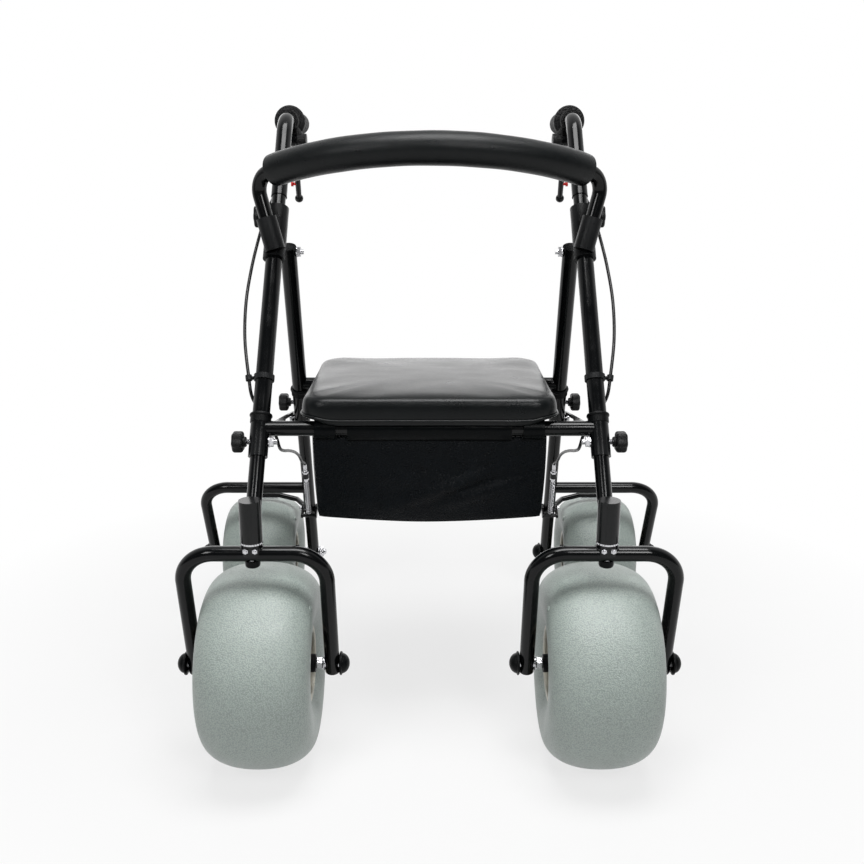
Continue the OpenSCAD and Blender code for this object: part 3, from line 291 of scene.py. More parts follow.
class Finish:
    """A procedural surface: a base colour with mottle, a roughness with smudges, and layers of relief."""

    def __init__(self, name, color, rough, metallic=0.0, coat=0.0, specular=0.5):
        self.color = color
        self.material = bpy.data.materials.new(name)
        self.material.use_nodes = True
        self.tree = self.material.node_tree
        self.shader = self.tree.nodes["Principled BSDF"]
        self.place = self.tree.nodes.new("ShaderNodeTexCoord").outputs["Object"]
        values = {"Base Color": color, "Roughness": rough, "Metallic": metallic, "Coat Weight": coat,
                  "Coat Roughness": COAT_ROUGH, "Specular IOR Level": specular}
        for socket, value in values.items():
            self.shader.inputs[socket].default_value = value
        self.rough = rough
        self.paint = None
        self.relief = None

    def link(self, source, target):
        self.tree.links.new(source, target)

    def noise(self, scale, detail, stretch=None):
        made = add_node(self.tree, "ShaderNodeTexNoise", Scale=scale, Detail=detail)
        place = self.place
        if stretch:
            mapping = add_node(self.tree, "ShaderNodeMapping", Scale=stretch)
            self.link(place, mapping.inputs["Vector"])
            place = mapping.outputs["Vector"]
        self.link(place, made.inputs["Vector"])
        return made.outputs["Fac"]

    def cells(self, scale):
        made = add_node(self.tree, "ShaderNodeTexVoronoi", Scale=scale)
        self.link(self.place, made.inputs["Vector"])
        return made.outputs["Distance"]

    def spread(self, source, low, high, out_low, out_high):
        made = add_node(self.tree, "ShaderNodeMapRange", From_Min=low, From_Max=high, To_Min=out_low,
                        To_Max=out_high)
        self.link(source, made.inputs["Value"])
        return made.outputs["Result"]

    def mix_in(self, source, low, high, share, color):
        """Mixes a colour over the paint, by nothing where a source is low up to a share where it is high."""
        made = self.tree.nodes.new("ShaderNodeMix")
        made.data_type = "RGBA"
        made.inputs[MIX_UNDER].default_value = self.color
        made.inputs[MIX_OVER].default_value = color
        if self.paint:
            self.link(self.paint, made.inputs[MIX_UNDER])
        self.link(self.spread(source, low, high, 0, share), made.inputs[MIX_FACTOR])
        self.paint = made.outputs[MIX_RESULT]
        self.link(self.paint, self.shader.inputs["Base Color"])
        return self

    def mottle(self, scale, share):
        """Lighter and darker patches."""
        light = self.noise(scale, MOTTLE_DETAIL)
        self.mix_in(light, *LIGHT_PATCH, 1, scaled(self.color, 1 + share))
        dark = self.noise(scale * DARK_SCALE_SHARE, MOTTLE_DETAIL)
        return self.mix_in(dark, *DARK_PATCH, 1, scaled(self.color, 1 - share))

    def smudge(self, scale, amount, stretch=None):
        """Roughness that varies over the surface."""
        low, high = max(LEAST_ROUGH, self.rough - amount), min(1, self.rough + amount)
        value = self.spread(self.noise(scale, SMUDGE_DETAIL, stretch), *SMUDGE_SPAN, low, high)
        self.link(value, self.shader.inputs["Roughness"])
        return self

    def emboss(self, height, depth):
        """Adds a layer of relief of a depth in metres."""
        made = add_node(self.tree, "ShaderNodeBump", Strength=1, Distance=depth)
        self.link(height, made.inputs["Height"])
        if self.relief:
            self.link(self.relief, made.inputs["Normal"])
        self.relief = made.outputs["Normal"]
        self.link(self.relief, self.shader.inputs["Normal"])
        return self

    def grain(self, scale, detail, depth, stretch=None):
        return self.emboss(self.noise(scale, detail, stretch), depth)

    def pebbles(self, scale, depth):
        return self.emboss(self.cells(scale), depth)

    def worn_edges(self, color):
        """A paler line along the sharp edges."""
        edges = self.tree.nodes.new("ShaderNodeNewGeometry").outputs["Pointiness"]
        return self.mix_in(edges, *WORN_SPAN, WORN_SHARE, color)


# Gloss black powder coat: a faint orange peel under a clear coat
PAINT = Finish("frame_paint", srgb(6, 7, 8), 0.17, coat=0.1, specular=0.18)
PAINT.mottle(60, 0.25).smudge(35, 0.07).grain(420, 2, 0.00005).worn_edges(srgb(34, 35, 36))

# Black nylon mouldings with a fine spark texture
MOULDED = Finish("moulded_black", srgb(7, 8, 9), 0.36, specular=0.1)
MOULDED.mottle(90, 0.3).smudge(60, 0.1).grain(1500, 2, 0.00018).worn_edges(srgb(40, 41, 42))

# Rough cast black of the knobs
KNOB = Finish("knob_black", srgb(9, 10, 11), 0.45, specular=0.2)
KNOB.mottle(160, 0.35).smudge(90, 0.12).pebbles(900, 0.0003).grain(2200, 2, 0.00012)

# Closed cell foam: satin skin with tiny pores
FOAM = Finish("foam_black", srgb(9, 12, 13), 0.33, specular=0.2)
FOAM.mottle(45, 0.18).smudge(28, 0.06, (1, 4, 4)).pebbles(2600, 0.00008).grain(240, 3, 0.00015)

# Grip rubber with a coarse granular skin
GRIP = Finish("grip_black", srgb(12, 12, 13), 0.5, specular=0.2)
GRIP.mottle(420, 0.8).smudge(150, 0.12).pebbles(560, 0.0011).grain(1400, 3, 0.0003)

# Upholstery vinyl: leather grain, soft sheen
VINYL = Finish("seat_vinyl", srgb(7, 10, 11), 0.3, specular=0.2)
VINYL.mottle(14, 0.25).smudge(16, 0.03, (1, 2, 1))
VINYL.pebbles(760, 0.00014).grain(900, 4, 0.00010).grain(11, 1, 0.0004)

# Coated cloth with a fine pebble and a dull sheen, with painted glints on the pebble tops
CLOTH = Finish("bag_cloth", srgb(3, 6, 9), 0.3, specular=0.09)
CLOTH.mottle(30, 0.3).smudge(60, 0.1)
CLOTH_PEBBLE_AND_PAINTED_GLINT = CLOTH.cells(480)
# Painted highlight: the pebble tops lighter, as glints
CLOTH.mix_in(CLOTH_PEBBLE_AND_PAINTED_GLINT, 0.5, 0.1, 0.4, srgb(15, 22, 27))
CLOTH.emboss(CLOTH_PEBBLE_AND_PAINTED_GLINT, -0.0009).grain(45, 3, 0.0022)

# Smooth coated binding of the bag's hems
BINDING = Finish("hem_binding", srgb(4, 6, 7), 0.3, specular=0.07)
BINDING.mottle(60, 0.3).smudge(50, 0.05, (1, 4, 4)).pebbles(1500, 0.00006)

# Zinc plated steel with fine turning marks
STEEL = Finish("bright_steel", srgb(205, 205, 208), 0.2, metallic=1.0)
STEEL.mottle(220, 0.12).smudge(300, 0.1).grain(900, 2, 0.00005, (6, 1, 1))

# Grey green balloon tyre with a pebbled skin, with painted highlights on the pebble tops and painted shade in
# the grooves
TYRE = Finish("tyre_skin", srgb(142, 152, 147), 0.36, specular=0.6)
TYRE.mottle(9, 0.05).smudge(40, 0.05)
TYRE_PEBBLE_AND_PAINTED_LIGHT = TYRE.cells(520)
# Painted highlight on the pebble tops, then painted shade in the grooves between them
TYRE.mix_in(TYRE_PEBBLE_AND_PAINTED_LIGHT, 0.5, 0.12, 0.45, srgb(172, 182, 176))
TYRE.mix_in(TYRE_PEBBLE_AND_PAINTED_LIGHT, 0.5, 0.72, 0.4, srgb(112, 122, 118))
TYRE.emboss(TYRE_PEBBLE_AND_PAINTED_LIGHT, -0.0005).grain(600, 2, 0.0001)

# Beige grey hub moulding
HUB = Finish("hub_plastic", srgb(190, 187, 174), 0.4)
HUB.mottle(70, 0.12).smudge(80, 0.1).grain(1100, 2, 0.00012)

# Red lock button, slightly dusty
RED = Finish("button_red", srgb(200, 26, 20), 0.35)
RED.mottle(300, 0.2).smudge(200, 0.1).grain(1600, 2, 0.00008)

# Black cable casing with a fine extrusion line
CASING = Finish("cable_skin", srgb(10, 10, 11), 0.3, specular=0.25)
CASING.mottle(120, 0.3).smudge(90, 0.1).grain(1300, 2, 0.0001)

# The CAD nodes that stay, by the start of their names
NODE_FINISHES = [
    (PAINT, ("front_frame", "backrest_tube", "rear_frame", "side_stays", "front_lower_leg", "caster_fork",
             "rear_lower_leg", "handle_tube", "brake_arm")),
    (MOULDED, ("top_brackets", "cable_clips", "seat_board")),
    (BINDING, ("seat_saddles",)),
    (GRIP, ("brake_perch",)),
    (STEEL, ("front_bolts", "rear_bolts", "caster_stem", "cable_adjuster")),
    (RED, ("lock_button",)),
]
for node_name, node_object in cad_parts.items():
    for node_finish, starts in NODE_FINISHES:
        if node_name.startswith(starts):
            node_object.data.materials.clear()
            node_object.data.materials.append(node_finish.material)


# Camera at the photograph's viewing angle
CAMERA_PLACE = Vector((0, -1.528, 0.866))
CAMERA_PITCH = math.radians(15.54)
CAMERA_LENS = 40
CAMERA_SENSOR = 36
CAMERA_SHIFT_X = 0.0029


def make_camera():
    data = bpy.data.cameras.new("camera")
    data.lens = CAMERA_LENS
    data.sensor_width = CAMERA_SENSOR
    data.shift_x = CAMERA_SHIFT_X
    camera = bpy.data.objects.new("camera", data)
    camera.location = CAMERA_PLACE
    camera.rotation_euler = (math.pi / 2 - CAMERA_PITCH, 0, 0)
    bpy.context.scene.collection.objects.link(camera)
    bpy.context.scene.camera = camera


make_camera()


# Brake cables: the route of the left one, from the lever's perch to the adjuster on the rear leg
CABLE_ROUTE = [
    (0.213, 0.098, 0.896), (0.216, 0.084, 0.886), (0.224, 0.072, 0.868), (0.236, 0.064, 0.845),
    (0.250, 0.052, 0.815), (0.262, 0.036, 0.785), (0.270, 0.008, 0.750), (0.276, -0.028, 0.710),
    (0.279, -0.068, 0.665), (0.276, -0.108, 0.615), (0.265, -0.150, 0.565), (0.260, -0.160, 0.540),
    (0.253, -0.151, 0.520), (0.244, -0.141, 0.503), (0.236, -0.136, 0.486), (0.231, -0.132, 0.468),
    (0.229, -0.118, 0.448), (0.229, -0.080, 0.433), (0.230, -0.030, 0.418), (0.231, 0.020, 0.402),
    (0.232, 0.065, 0.386), (0.232, 0.105, 0.368), (0.231, 0.130, 0.350),
]
CABLE_R = 0.0025
CABLE_SIDES = 14
CABLE_STEPS = 6
CLIP_INDEX = 10
REAR_INDEX = 19
LUG_OUT = 0.020
LUG_Z = 0.320
ADJUSTER_HALF = 0.015
CABLE_GAP = 0.0007
CABLE_LEAD = 0.014
BOOT_SHARE = 2.0
BOOT_TAPER_SHARE = 0.75
FERRULE_SHARE = 1.35
FRONT_OF_LEG = X_AXIS.cross(REAR_DIR).normalized()
LUG = rear_at(LUG_Z) - FRONT_OF_LEG * LUG_OUT
CABLE_END = LUG - REAR_DIR * (ADJUSTER_HALF + CABLE_GAP)


def make_cables():
    """Three stretches a side: their bodies, their ends, and the steps between which each changes body."""
    path = smooth_path([*CABLE_ROUTE, CABLE_END - REAR_DIR * CABLE_LEAD, CABLE_END], CABLE_STEPS)
    clip, rear, last = CLIP_INDEX * CABLE_STEPS, REAR_INDEX * CABLE_STEPS, len(path) - 1
    for name, side in SIDES.items():
        stretches = [
            ("upper", f"handle_{name}", "front_frame", 0, clip, CABLE_STEPS, CABLE_STEPS * 8),
            ("middle", "front_frame", "rear_frame", clip, rear, CABLE_STEPS * 6, CABLE_STEPS * 9),
            ("lower", "rear_frame", f"rear_leg_{name}", rear, last, 1, last - rear - 2),
        ]
        for part, body_a, body_b, first, end, from_step, to_step in stretches:
            stretch = path[first:end + 1]
            obj = mesh_object(f"brake_cable_{name}_{part}", tube(stretch, CABLE_R, CABLE_SIDES), CASING, side)
            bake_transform(obj)
            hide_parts(f"brake_cable_{name}")
        boot = tube(path[:CABLE_STEPS * 2], lambda t: CABLE_R * (BOOT_SHARE - BOOT_TAPER_SHARE * t), 18)
        piece(f"cable_boot_{name}", boot, MOULDED, f"handle_{name}", side)
        ferrule = tube(path[-CABLE_STEPS:], CABLE_R * FERRULE_SHARE, 18)
        piece(f"cable_ferrule_{name}", ferrule, STEEL, f"rear_leg_{name}", side)


make_cables()


# Balloon tyres and hubs
BELLY_SHARE = 0.667
LOW_HALF_SHARE = 0.5
SECTION_POWER = 2.25
SECTION_STEPS = 72


def tyre_section(radius, width, hub_radius):
    """(radius, height) points round the tyre's superellipse, from hub edge to hub edge."""
    belly = radius * BELLY_SHARE
    top, low = radius - belly, radius * LOW_HALF_SHARE
    start = math.asin(((belly - hub_radius) / low) ** (SECTION_POWER / 2))
    points = []
    for i in range(SECTION_STEPS + 1):
        angle = -start + (math.pi + 2 * start) * i / SECTION_STEPS
        c, s = math.cos(angle), math.sin(angle)
        height = width / 2 * math.copysign(abs(c) ** (2 / SECTION_POWER), c)
        reach = (top if s > 0 else -low) * abs(s) ** (2 / SECTION_POWER)
        points.append((belly + reach, height))
    return points


RIM_T = 0.007
WEB_HALF = 0.005
WEB_FILLET = 0.004
BOSS_R = 0.017
BOSS_EDGE = 0.002
AXLE_R = 0.006
RIB_COUNT = 6
RIB_HALF = 0.0022
RIB_DEPTH_SHARE = 0.55
RIB_SINK = 0.001
LIP_R = 0.0022
LIP_OVER = 0.0012
LIP_FOOT = 0.006
LIP_NECK = 0.004
LIP_STEP = 0.0015
LIP_ROLL = 0.0005


def hub_shape(centre, radius, width, rim_half):
    """A turned hub with a boss, a web and a rolled lip on each side, and ribs on both faces of the web."""
    half = width / 2
    inner = radius - RIM_T
    side = [(AXLE_R, half), (BOSS_R - BOSS_EDGE, half), (BOSS_R, half - BOSS_EDGE),
            (BOSS_R, WEB_HALF + WEB_FILLET), (BOSS_R + WEB_FILLET, WEB_HALF), (inner - WEB_FILLET, WEB_HALF),
            (inner, WEB_HALF + WEB_FILLET), (inner, rim_half - LIP_FOOT),
            (inner - LIP_STEP, rim_half - LIP_NECK)]
    side += arc(inner + LIP_ROLL, rim_half - LIP_R, LIP_R, 180, 90, 5)
    side += arc(radius - LIP_R - TOUCH_GAP, rim_half - LIP_R, LIP_R, 90, 0, 5)
    profile = side + [(r, -h) for r, h in reversed(side)]
    shapes = [lathe(profile, centre, X_AXIS, 96, closed=True)]
    depth = (half - WEB_HALF) * RIB_DEPTH_SHARE
    reach = (inner - BOSS_R) / 2 + RIB_SINK
    for i in range(RIB_COUNT):
        angle = math.tau * (i + 0.5) / RIB_COUNT
        out = Vector((0, math.cos(angle), math.sin(angle)))
        across = out.cross(X_AXIS)
        for way in (1, -1):
            middle = centre + out * (BOSS_R + inner) / 2 + X_AXIS * way * (WEB_HALF + (depth - RIB_SINK) / 2)
            shapes.append(box_shape(middle, X_AXIS * depth / 2, out * reach, across * RIB_HALF))
    return join(*shapes)


VALVE_R = 0.0045
VALVE_STEP = 58
VALVE_RAY = Vector((0, -0.35, 0.94)).normalized()
VALVE_AXIS = (X_AXIS * -0.95 + VALVE_RAY * 0.3).normalized()
VALVE_PROFILE = [(0, 0.0016), (VALVE_R * 0.5, 0.0016), (VALVE_R * 0.85, 0.0011), (VALVE_R, 0.0002),
                 (VALVE_R, -0.004)]


def make_wheel(kind, name, side):
    centre, size = left_box(f"{kind}_tyre_{name}", side)
    hub_size = left_box(f"{kind}_hub_{name}", side)[1]
    body = f"{kind}_wheel_{name}"
    section = tyre_section(size.z / 2, size.x, hub_size.z / 2)
    skin = lathe(section, centre, X_AXIS, 144, closed=True)
    piece(f"{kind}_balloon_tyre_{name}", skin, TYRE, body, side, [f"{kind}_tyre_{name}"])
    hub = hub_shape(centre, hub_size.z / 2, hub_size.x, section[0][1] + LIP_OVER)
    piece(f"{kind}_ribbed_hub_{name}", hub, HUB, body, side, [f"{kind}_hub_{name}"])
    reach, height = section[VALVE_STEP]
    valve = lathe(VALVE_PROFILE, centre + VALVE_RAY * reach + X_AXIS * height, VALVE_AXIS, 20)
    piece(f"{kind}_valve_{name}", valve, TYRE, body, side)


# Axle sets: axle, spacers, lock nuts and end caps
SPACER_R = 0.0135
SPACER_LEN = 0.012
SPACER_EDGE = 0.001
NUT_R = 0.0095
NUT_FACE_SHARE = 0.86
NUT_SLACK = 0.0004
WASHER_T = 0.0018
WASHER_SHARE = 1.15
BARE_WASHER_T = 0.002
BARE_WASHER_SHARE = 1.35
BARE_NUT_SHARE = 1.1
BARE_NUT_H = 0.008
CAP_R = 0.0175
CAP_H = 0.015
DOME_Z = 0.0030
DOME_INSET = 0.0025
AXLE_PROUD = 0.007
AXLE_TUBE_R = 0.011


def hex_prism(origin, axis, radius, length, turn=0.0):
    """A hexagonal nut with chamfered faces."""
    u, v = cross_frame(axis)
    face, edge = radius * NUT_FACE_SHARE, length * NUT_FACE_SHARE
    levels = ((face, 0), (radius, length - edge), (radius, edge), (face, length))
    return loft([circle(origin + axis * h, u, v, r, 6, turn) for r, h in levels])


def washer_shape(origin, axis, radius, thick):
    return lathe([(AXLE_R, 0), (radius, 0), (radius, thick), (AXLE_R, thick)], origin, axis, 36)


def cap_shape(origin, axis):
    """A dome on a brim."""
    dome_r = CAP_R - DOME_INSET
    rise_share = (CAP_H - DOME_Z) / dome_r
    profile = [(AXLE_R, 0), (CAP_R - 0.002, 0), (CAP_R, 0.0012), (CAP_R, 0.0032), (CAP_R - 0.0022, 0.0042)]
    profile += [(r, DOME_Z + h * rise_share) for r, h in arc(0, 0, dome_r, 12, 90, 12)]
    return lathe(profile, origin, axis, 48)


def spacer_shape(origin, axis):
    edge_r, edge_h = SPACER_R - SPACER_EDGE, SPACER_LEN - SPACER_EDGE
    profile = [(AXLE_R, 0), (edge_r, 0), (SPACER_R, SPACER_EDGE), (SPACER_R, edge_h), (edge_r, SPACER_LEN),
               (AXLE_R, SPACER_LEN)]
    return lathe(profile, origin, axis, 40)


def bare_nut_shape(origin, axis):
    """A washer, a nut and the round end of the axle."""
    washer = washer_shape(origin, axis, NUT_R * BARE_WASHER_SHARE, BARE_WASHER_T)
    nut = hex_prism(origin + axis * BARE_WASHER_T, axis, NUT_R * BARE_NUT_SHARE, BARE_NUT_H)
    end = lathe([(AXLE_R, 0.009), (AXLE_R, 0.0125), (AXLE_R * 0.6, 0.0145), (0, 0.015)], origin, axis, 24)
    return join(washer, nut, end)


def make_axle(kind, name, side, body, inner_x, outer_x):
    """An axle with what sits on it, out to the tubes that carry it at inner_x and outer_x."""
    middle = left_box(f"{kind}_axle_{name}", side)[0]
    middle.x = left_box(f"{kind}_tyre_{name}", side)[0].x
    hub_half = left_box(f"{kind}_hub_{name}", side)[1].x / 2
    ends = [middle - X_AXIS * (inner_x + AXLE_TUBE_R + AXLE_PROUD),
            middle + X_AXIS * (outer_x + AXLE_TUBE_R + AXLE_PROUD)]
    steel = [tube(ends, AXLE_R, 28)]
    black = []
    nut_start = hub_half + FIT_GAP + SPACER_LEN
    for axis, reach in ((-X_AXIS, inner_x), (X_AXIS, outer_x)):
        black.append(spacer_shape(middle + axis * (hub_half + FIT_GAP), axis))
        washer_at = reach - AXLE_TUBE_R - TOUCH_GAP - WASHER_T
        steel.append(washer_shape(middle + axis * washer_at, axis, NUT_R * WASHER_SHARE, WASHER_T))
        nut_len = washer_at - NUT_SLACK - nut_start
        steel.append(hex_prism(middle + axis * nut_start, axis, NUT_R, nut_len, math.pi / 6))
        end_at = middle + axis * (reach + AXLE_TUBE_R + TOUCH_GAP)
        if kind == "rear" and name == "right" and axis.x < 0:
            steel.append(bare_nut_shape(end_at, axis))
        else:
            black.append(cap_shape(end_at, axis))
    piece(f"{kind}_axle_steel_{name}", join(*steel), STEEL, body, side, [f"{kind}_axle_{name}"])
    piece(f"{kind}_axle_caps_{name}", join(*black), MOULDED, body, side)


FORK_HALF = 0.102
REAR_INSET = 0.097
ARCH_OUTSET = 0.100

# Wheels and axle sets of both sides
for side_name, side_sign in SIDES.items():
    make_wheel("front", side_name, side_sign)
    make_wheel("rear", side_name, side_sign)
    make_axle("front", side_name, side_sign, f"caster_{side_name}", FORK_HALF, FORK_HALF)
    make_axle("rear", side_name, side_sign, f"rear_leg_{side_name}", REAR_INSET, ARCH_OUTSET)


# Knobs: lobed heads on steel screws
LOBES = 6
LOBE_SHARE = 0.075
KNOB_EDGE = 0.004
KNOB_DISH = 0.0012
NECK_R = 0.0075
NECK_BORE = 0.004
NECK_LEN = 0.004
NECK_EDGE = 0.001
NECK_SINK = 0.002
SCREW_R = 0.00385
THREAD_STEP = 0.0006
THREAD_DEPTH = 0.0002


def make_knob(node, name, side, thick):
    low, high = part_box(f"{node}_{name}")
    middle = (low + high) / 2
    outer = max(abs(low.x), abs(high.x))
    inner = min(abs(low.x), abs(high.x))
    mean_r = (high.y - low.y) / 2 / (1 + LOBE_SHARE)
    origin = Vector((outer - thick, middle.y, middle.z))
    edge = min(KNOB_EDGE, thick / 3)
    profile = [(0, 0), (mean_r - edge, 0)]
    profile += arc(mean_r - edge, edge, edge, -90, 0, 4)
    profile += arc(mean_r - edge, thick - edge, edge, 0, 90, 5)
    profile += [(mean_r * 0.55, thick), (mean_r * 0.5, thick - KNOB_DISH), (0, thick - KNOB_DISH)]
    head = lathe(profile, origin, X_AXIS, 96, lobes=LOBES, lobe_share=LOBE_SHARE)
    collar = [(NECK_BORE, -NECK_LEN), (NECK_R - NECK_EDGE, -NECK_LEN), (NECK_R, NECK_EDGE - NECK_LEN),
              (NECK_R, NECK_SINK)]
    neck = lathe(collar, origin, X_AXIS, 32)
    body = f"{node}_{name}"
    piece(f"{node}_head_{name}", join(head, neck), KNOB, body, side, [f"{node}_{name}"])
    start = Vector((inner, middle.y, middle.z))
    turns = int((origin - start).length / THREAD_STEP)
    thread = tube([start + X_AXIS * THREAD_STEP * i for i in range(turns)],
                  lambda t: SCREW_R + THREAD_DEPTH * math.cos(math.pi * round(t * (turns - 1))), 20)
    piece(f"{node}_screw_{name}", thread, STEEL, body, side)


# Collars on the legs, with fine ribs and a lip
COLLAR_IN = 0.0128
COLLAR_R = 0.015
COLLAR_LEN = 0.014
COLLAR_RIBS = 36
COLLAR_RIB_SHARE = 0.008
FRONT_COLLAR_Z = 0.506
REAR_COLLAR_Z = 0.479


def collar_shape(origin, axis):
    profile = [(COLLAR_IN, 0), (COLLAR_R - 0.0008, 0), (COLLAR_R, 0.0008), (COLLAR_R, 0.0095),
               (COLLAR_R + 0.0012, 0.0105), (COLLAR_R + 0.0015, 0.0118), (COLLAR_R + 0.0008, COLLAR_LEN),
               (COLLAR_IN, COLLAR_LEN)]
    return lathe(profile, origin, axis, 144, closed=True, lobes=COLLAR_RIBS, lobe_share=COLLAR_RIB_SHARE)


def make_collars():
    places = {
        "front": (leg_at(FRONT_COLLAR_Z) + LEG_DIR * TOUCH_GAP, LEG_DIR, "front_frame"),
        "rear": (rear_at(REAR_COLLAR_Z) - REAR_DIR * TOUCH_GAP, -REAR_DIR, "rear_frame"),
    }
    for kind, (origin, axis, body) in places.items():
        for name, side in SIDES.items():
            piece(f"{kind}_collar_{name}", collar_shape(origin, axis), MOULDED, body, side,
                  [f"{kind}_collars"])


make_collars()


# Grips: a granular flange, a waisted body and a round end
GRIP_BORE = 0.0126
GRIP_BODY_SHARE = 0.745
FLANGE_EDGE = 0.003
WAIST_FROM = 0.012
WAIST_SHORT = 0.022
WAIST = 0.0014
WAIST_STEPS = 26
GRIP_SWELL = 0.0016
GRIP_TAPER = 0.0010
GROOVES = 9
GROOVE = 0.0007
GRIP_END_R = 0.0065


def make_grip(name, side):
    middle, size = left_box(f"grip_{name}", side)
    length, flange_r = size.y, size.z / 2
    body_r = flange_r * GRIP_BODY_SHARE
    profile = [(GRIP_BORE, 0), (flange_r - FLANGE_EDGE, 0)]
    profile += arc(flange_r - FLANGE_EDGE, 0.0032, FLANGE_EDGE, -80, 60, 6)
    profile += [(body_r + 0.0025, 0.0085), (body_r, WAIST_FROM)]
    for i in range(1, WAIST_STEPS):
        t = i / WAIST_STEPS
        swell = GRIP_SWELL * math.sin(math.pi * t) - GRIP_TAPER * t
        groove = GROOVE * math.cos(math.tau * GROOVES * t)
        profile.append((body_r - WAIST + swell + groove, WAIST_FROM + (length - WAIST_SHORT) * t))
    profile += arc(body_r - GRIP_END_R, length - GRIP_END_R, GRIP_END_R - FIT_GAP, 10, 90, 6)
    profile += [(0, length - TOUCH_GAP * 2)]
    rubber = lathe(profile, middle - Y_AXIS * length / 2, Y_AXIS, 72)
    piece(f"grip_rubber_{name}", rubber, GRIP, f"handle_{name}", side, [f"grip_{name}"])


# Brake levers: an eye on the pin, a bowed arm and a ball
LEVER_PIN = Vector((0.2106, 0.1297, 0.905))
PERCH_HALF = 0.0075
LEVER_W = 0.011
LEVER_LEN = 0.138
LEVER_SLOPE = math.radians(44)
TIP_OUT = 0.008
BALL_R = 0.0075
ARM_R = 0.0056
ARM_TAPER = 0.0009
ARM_BOW = 0.0022
ARM_STEPS = 30
EYE_BORE = 0.0031
EYE_R = 0.009
EYE_EDGE = 0.0008


def make_lever(name, side):
    eye = LEVER_PIN + X_AXIS * (PERCH_HALF + FIT_GAP)
    start = eye + X_AXIS * LEVER_W / 2
    along = Vector((0, math.cos(LEVER_SLOPE), -math.sin(LEVER_SLOPE)))
    tip = start + along * LEVER_LEN + X_AXIS * TIP_OUT
    bow = Vector((0, math.sin(LEVER_SLOPE), math.cos(LEVER_SLOPE))) * ARM_BOW
    shares = [i / ARM_STEPS for i in range(ARM_STEPS + 1)]
    arm = tube([start.lerp(tip, share) + bow * math.sin(math.pi * share) for share in shares],
               lambda t: ARM_R - ARM_TAPER * t, 24)
    face_r = EYE_R - EYE_EDGE
    ring = [(EYE_BORE, 0), (face_r, 0), (EYE_R, EYE_EDGE), (EYE_R, LEVER_W - EYE_EDGE), (face_r, LEVER_W),
            (EYE_BORE, LEVER_W)]
    hub = lathe(ring, eye, X_AXIS, 40, closed=True)
    ball = lathe(arc(0, 0, BALL_R, -90, 90, 16), tip, along, 32)
    piece(f"brake_lever_arm_{name}", join(arm, hub, ball), PAINT, f"lever_{name}", side,
          [f"brake_lever_{name}"])


# Return springs with the bare wire
SPRING_R = 0.0041
SPRING_WIRE_R = 0.0007
SPRING_CURLS = 14
CURL_STEPS = 20
SPRING_CORE_R = 0.001
BRIDGE_R = 0.0035
PIVOT_Z = 0.225


def make_spring(name, side):
    top = LUG + REAR_DIR * (ADJUSTER_HALF + FIT_GAP)
    low = rear_at(PIVOT_Z) - FRONT_OF_LEG * LUG_OUT - REAR_DIR * (BRIDGE_R + FIT_GAP)
    u, v = cross_frame(REAR_DIR)
    length = (low - top).length
    count = SPRING_CURLS * CURL_STEPS
    line = []
    for i in range(count + 1):
        angle = math.tau * i / CURL_STEPS
        height = SPRING_WIRE_R + (length - 2 * SPRING_WIRE_R) * i / count
        round_point = (u * math.cos(angle) + v * math.sin(angle)) * SPRING_R
        line.append(top + REAR_DIR * height + round_point)
    shape = join(tube(line, SPRING_WIRE_R, 10), tube([top, low], SPRING_CORE_R, 12))
    obj = piece(f"brake_spring_coil_{name}", shape, STEEL, f"rear_leg_{name}", side,
                [f"brake_spring_{name}"])
    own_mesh(obj)


# Knobs, grips, levers and springs of both sides, with the thickness of each knob's head
KNOB_HEADS = {"front_knob": 0.016, "rear_knob": 0.016, "handle_knob": 0.010}
for side_name, side_sign in SIDES.items():
    for knob_node, head_thick in KNOB_HEADS.items():
        make_knob(knob_node, side_name, side_sign, head_thick)
    make_grip(side_name, side_sign)
    make_lever(side_name, side_sign)
    make_spring(side_name, side_sign)


# Backrest pad: a foam tube on the bow, cut square at its ends
BACK_MID = Vector((0, -0.127, 0.889))
BACK_END = Vector((0.242, -0.047, 0.855))
PAD_SHORT = 0.011
PAD_R = 0.024
BACK_TUBE_R = 0.0113
PAD_STEPS = 72
PAD_SIDES = 48
PAD_SOFT = 0.0015
PAD_EDGE = 0.0025
PAD_ROUND = 0.0006
PAD_SPAN_SHARE = 0.99


def make_backrest_pad():
    rise = Vector((0, BACK_MID.y - BACK_END.y, BACK_MID.z - BACK_END.z))
    sag = rise.length
    out = rise / sag
    bow_r = (BACK_END.x ** 2 + sag ** 2) / (2 * sag)
    half = math.asin((BACK_END.x - PAD_SHORT) / bow_r)
    centre = BACK_MID - out * bow_r
    normal = out.cross(X_AXIS)

    def ring_at(angle, radius):
        ray = out * math.cos(angle) + X_AXIS * math.sin(angle)
        return circle(centre + ray * bow_r, ray, normal, radius, PAD_SIDES)

    soft = PAD_SOFT / bow_r
    ends = [(soft, BACK_TUBE_R), (0, PAD_R - PAD_EDGE), (soft, PAD_R - PAD_ROUND)]
    rings = [ring_at(inset - half, radius) for inset, radius in ends]
    for i in range(1, PAD_STEPS):
        t = -1 + 2 * i / PAD_STEPS
        radius = PAD_R + 0.00015 * math.sin(9 * t) + 0.0001 * math.sin(23 * t + 1)
        rings.append(ring_at(half * t * PAD_SPAN_SHARE, radius))
    rings += [ring_at(half - inset, radius) for inset, radius in reversed(ends)]
    pad = piece("backrest_foam", loft(rings), FOAM, "front_frame", 1, ["backrest_pad"])


make_backrest_pad()


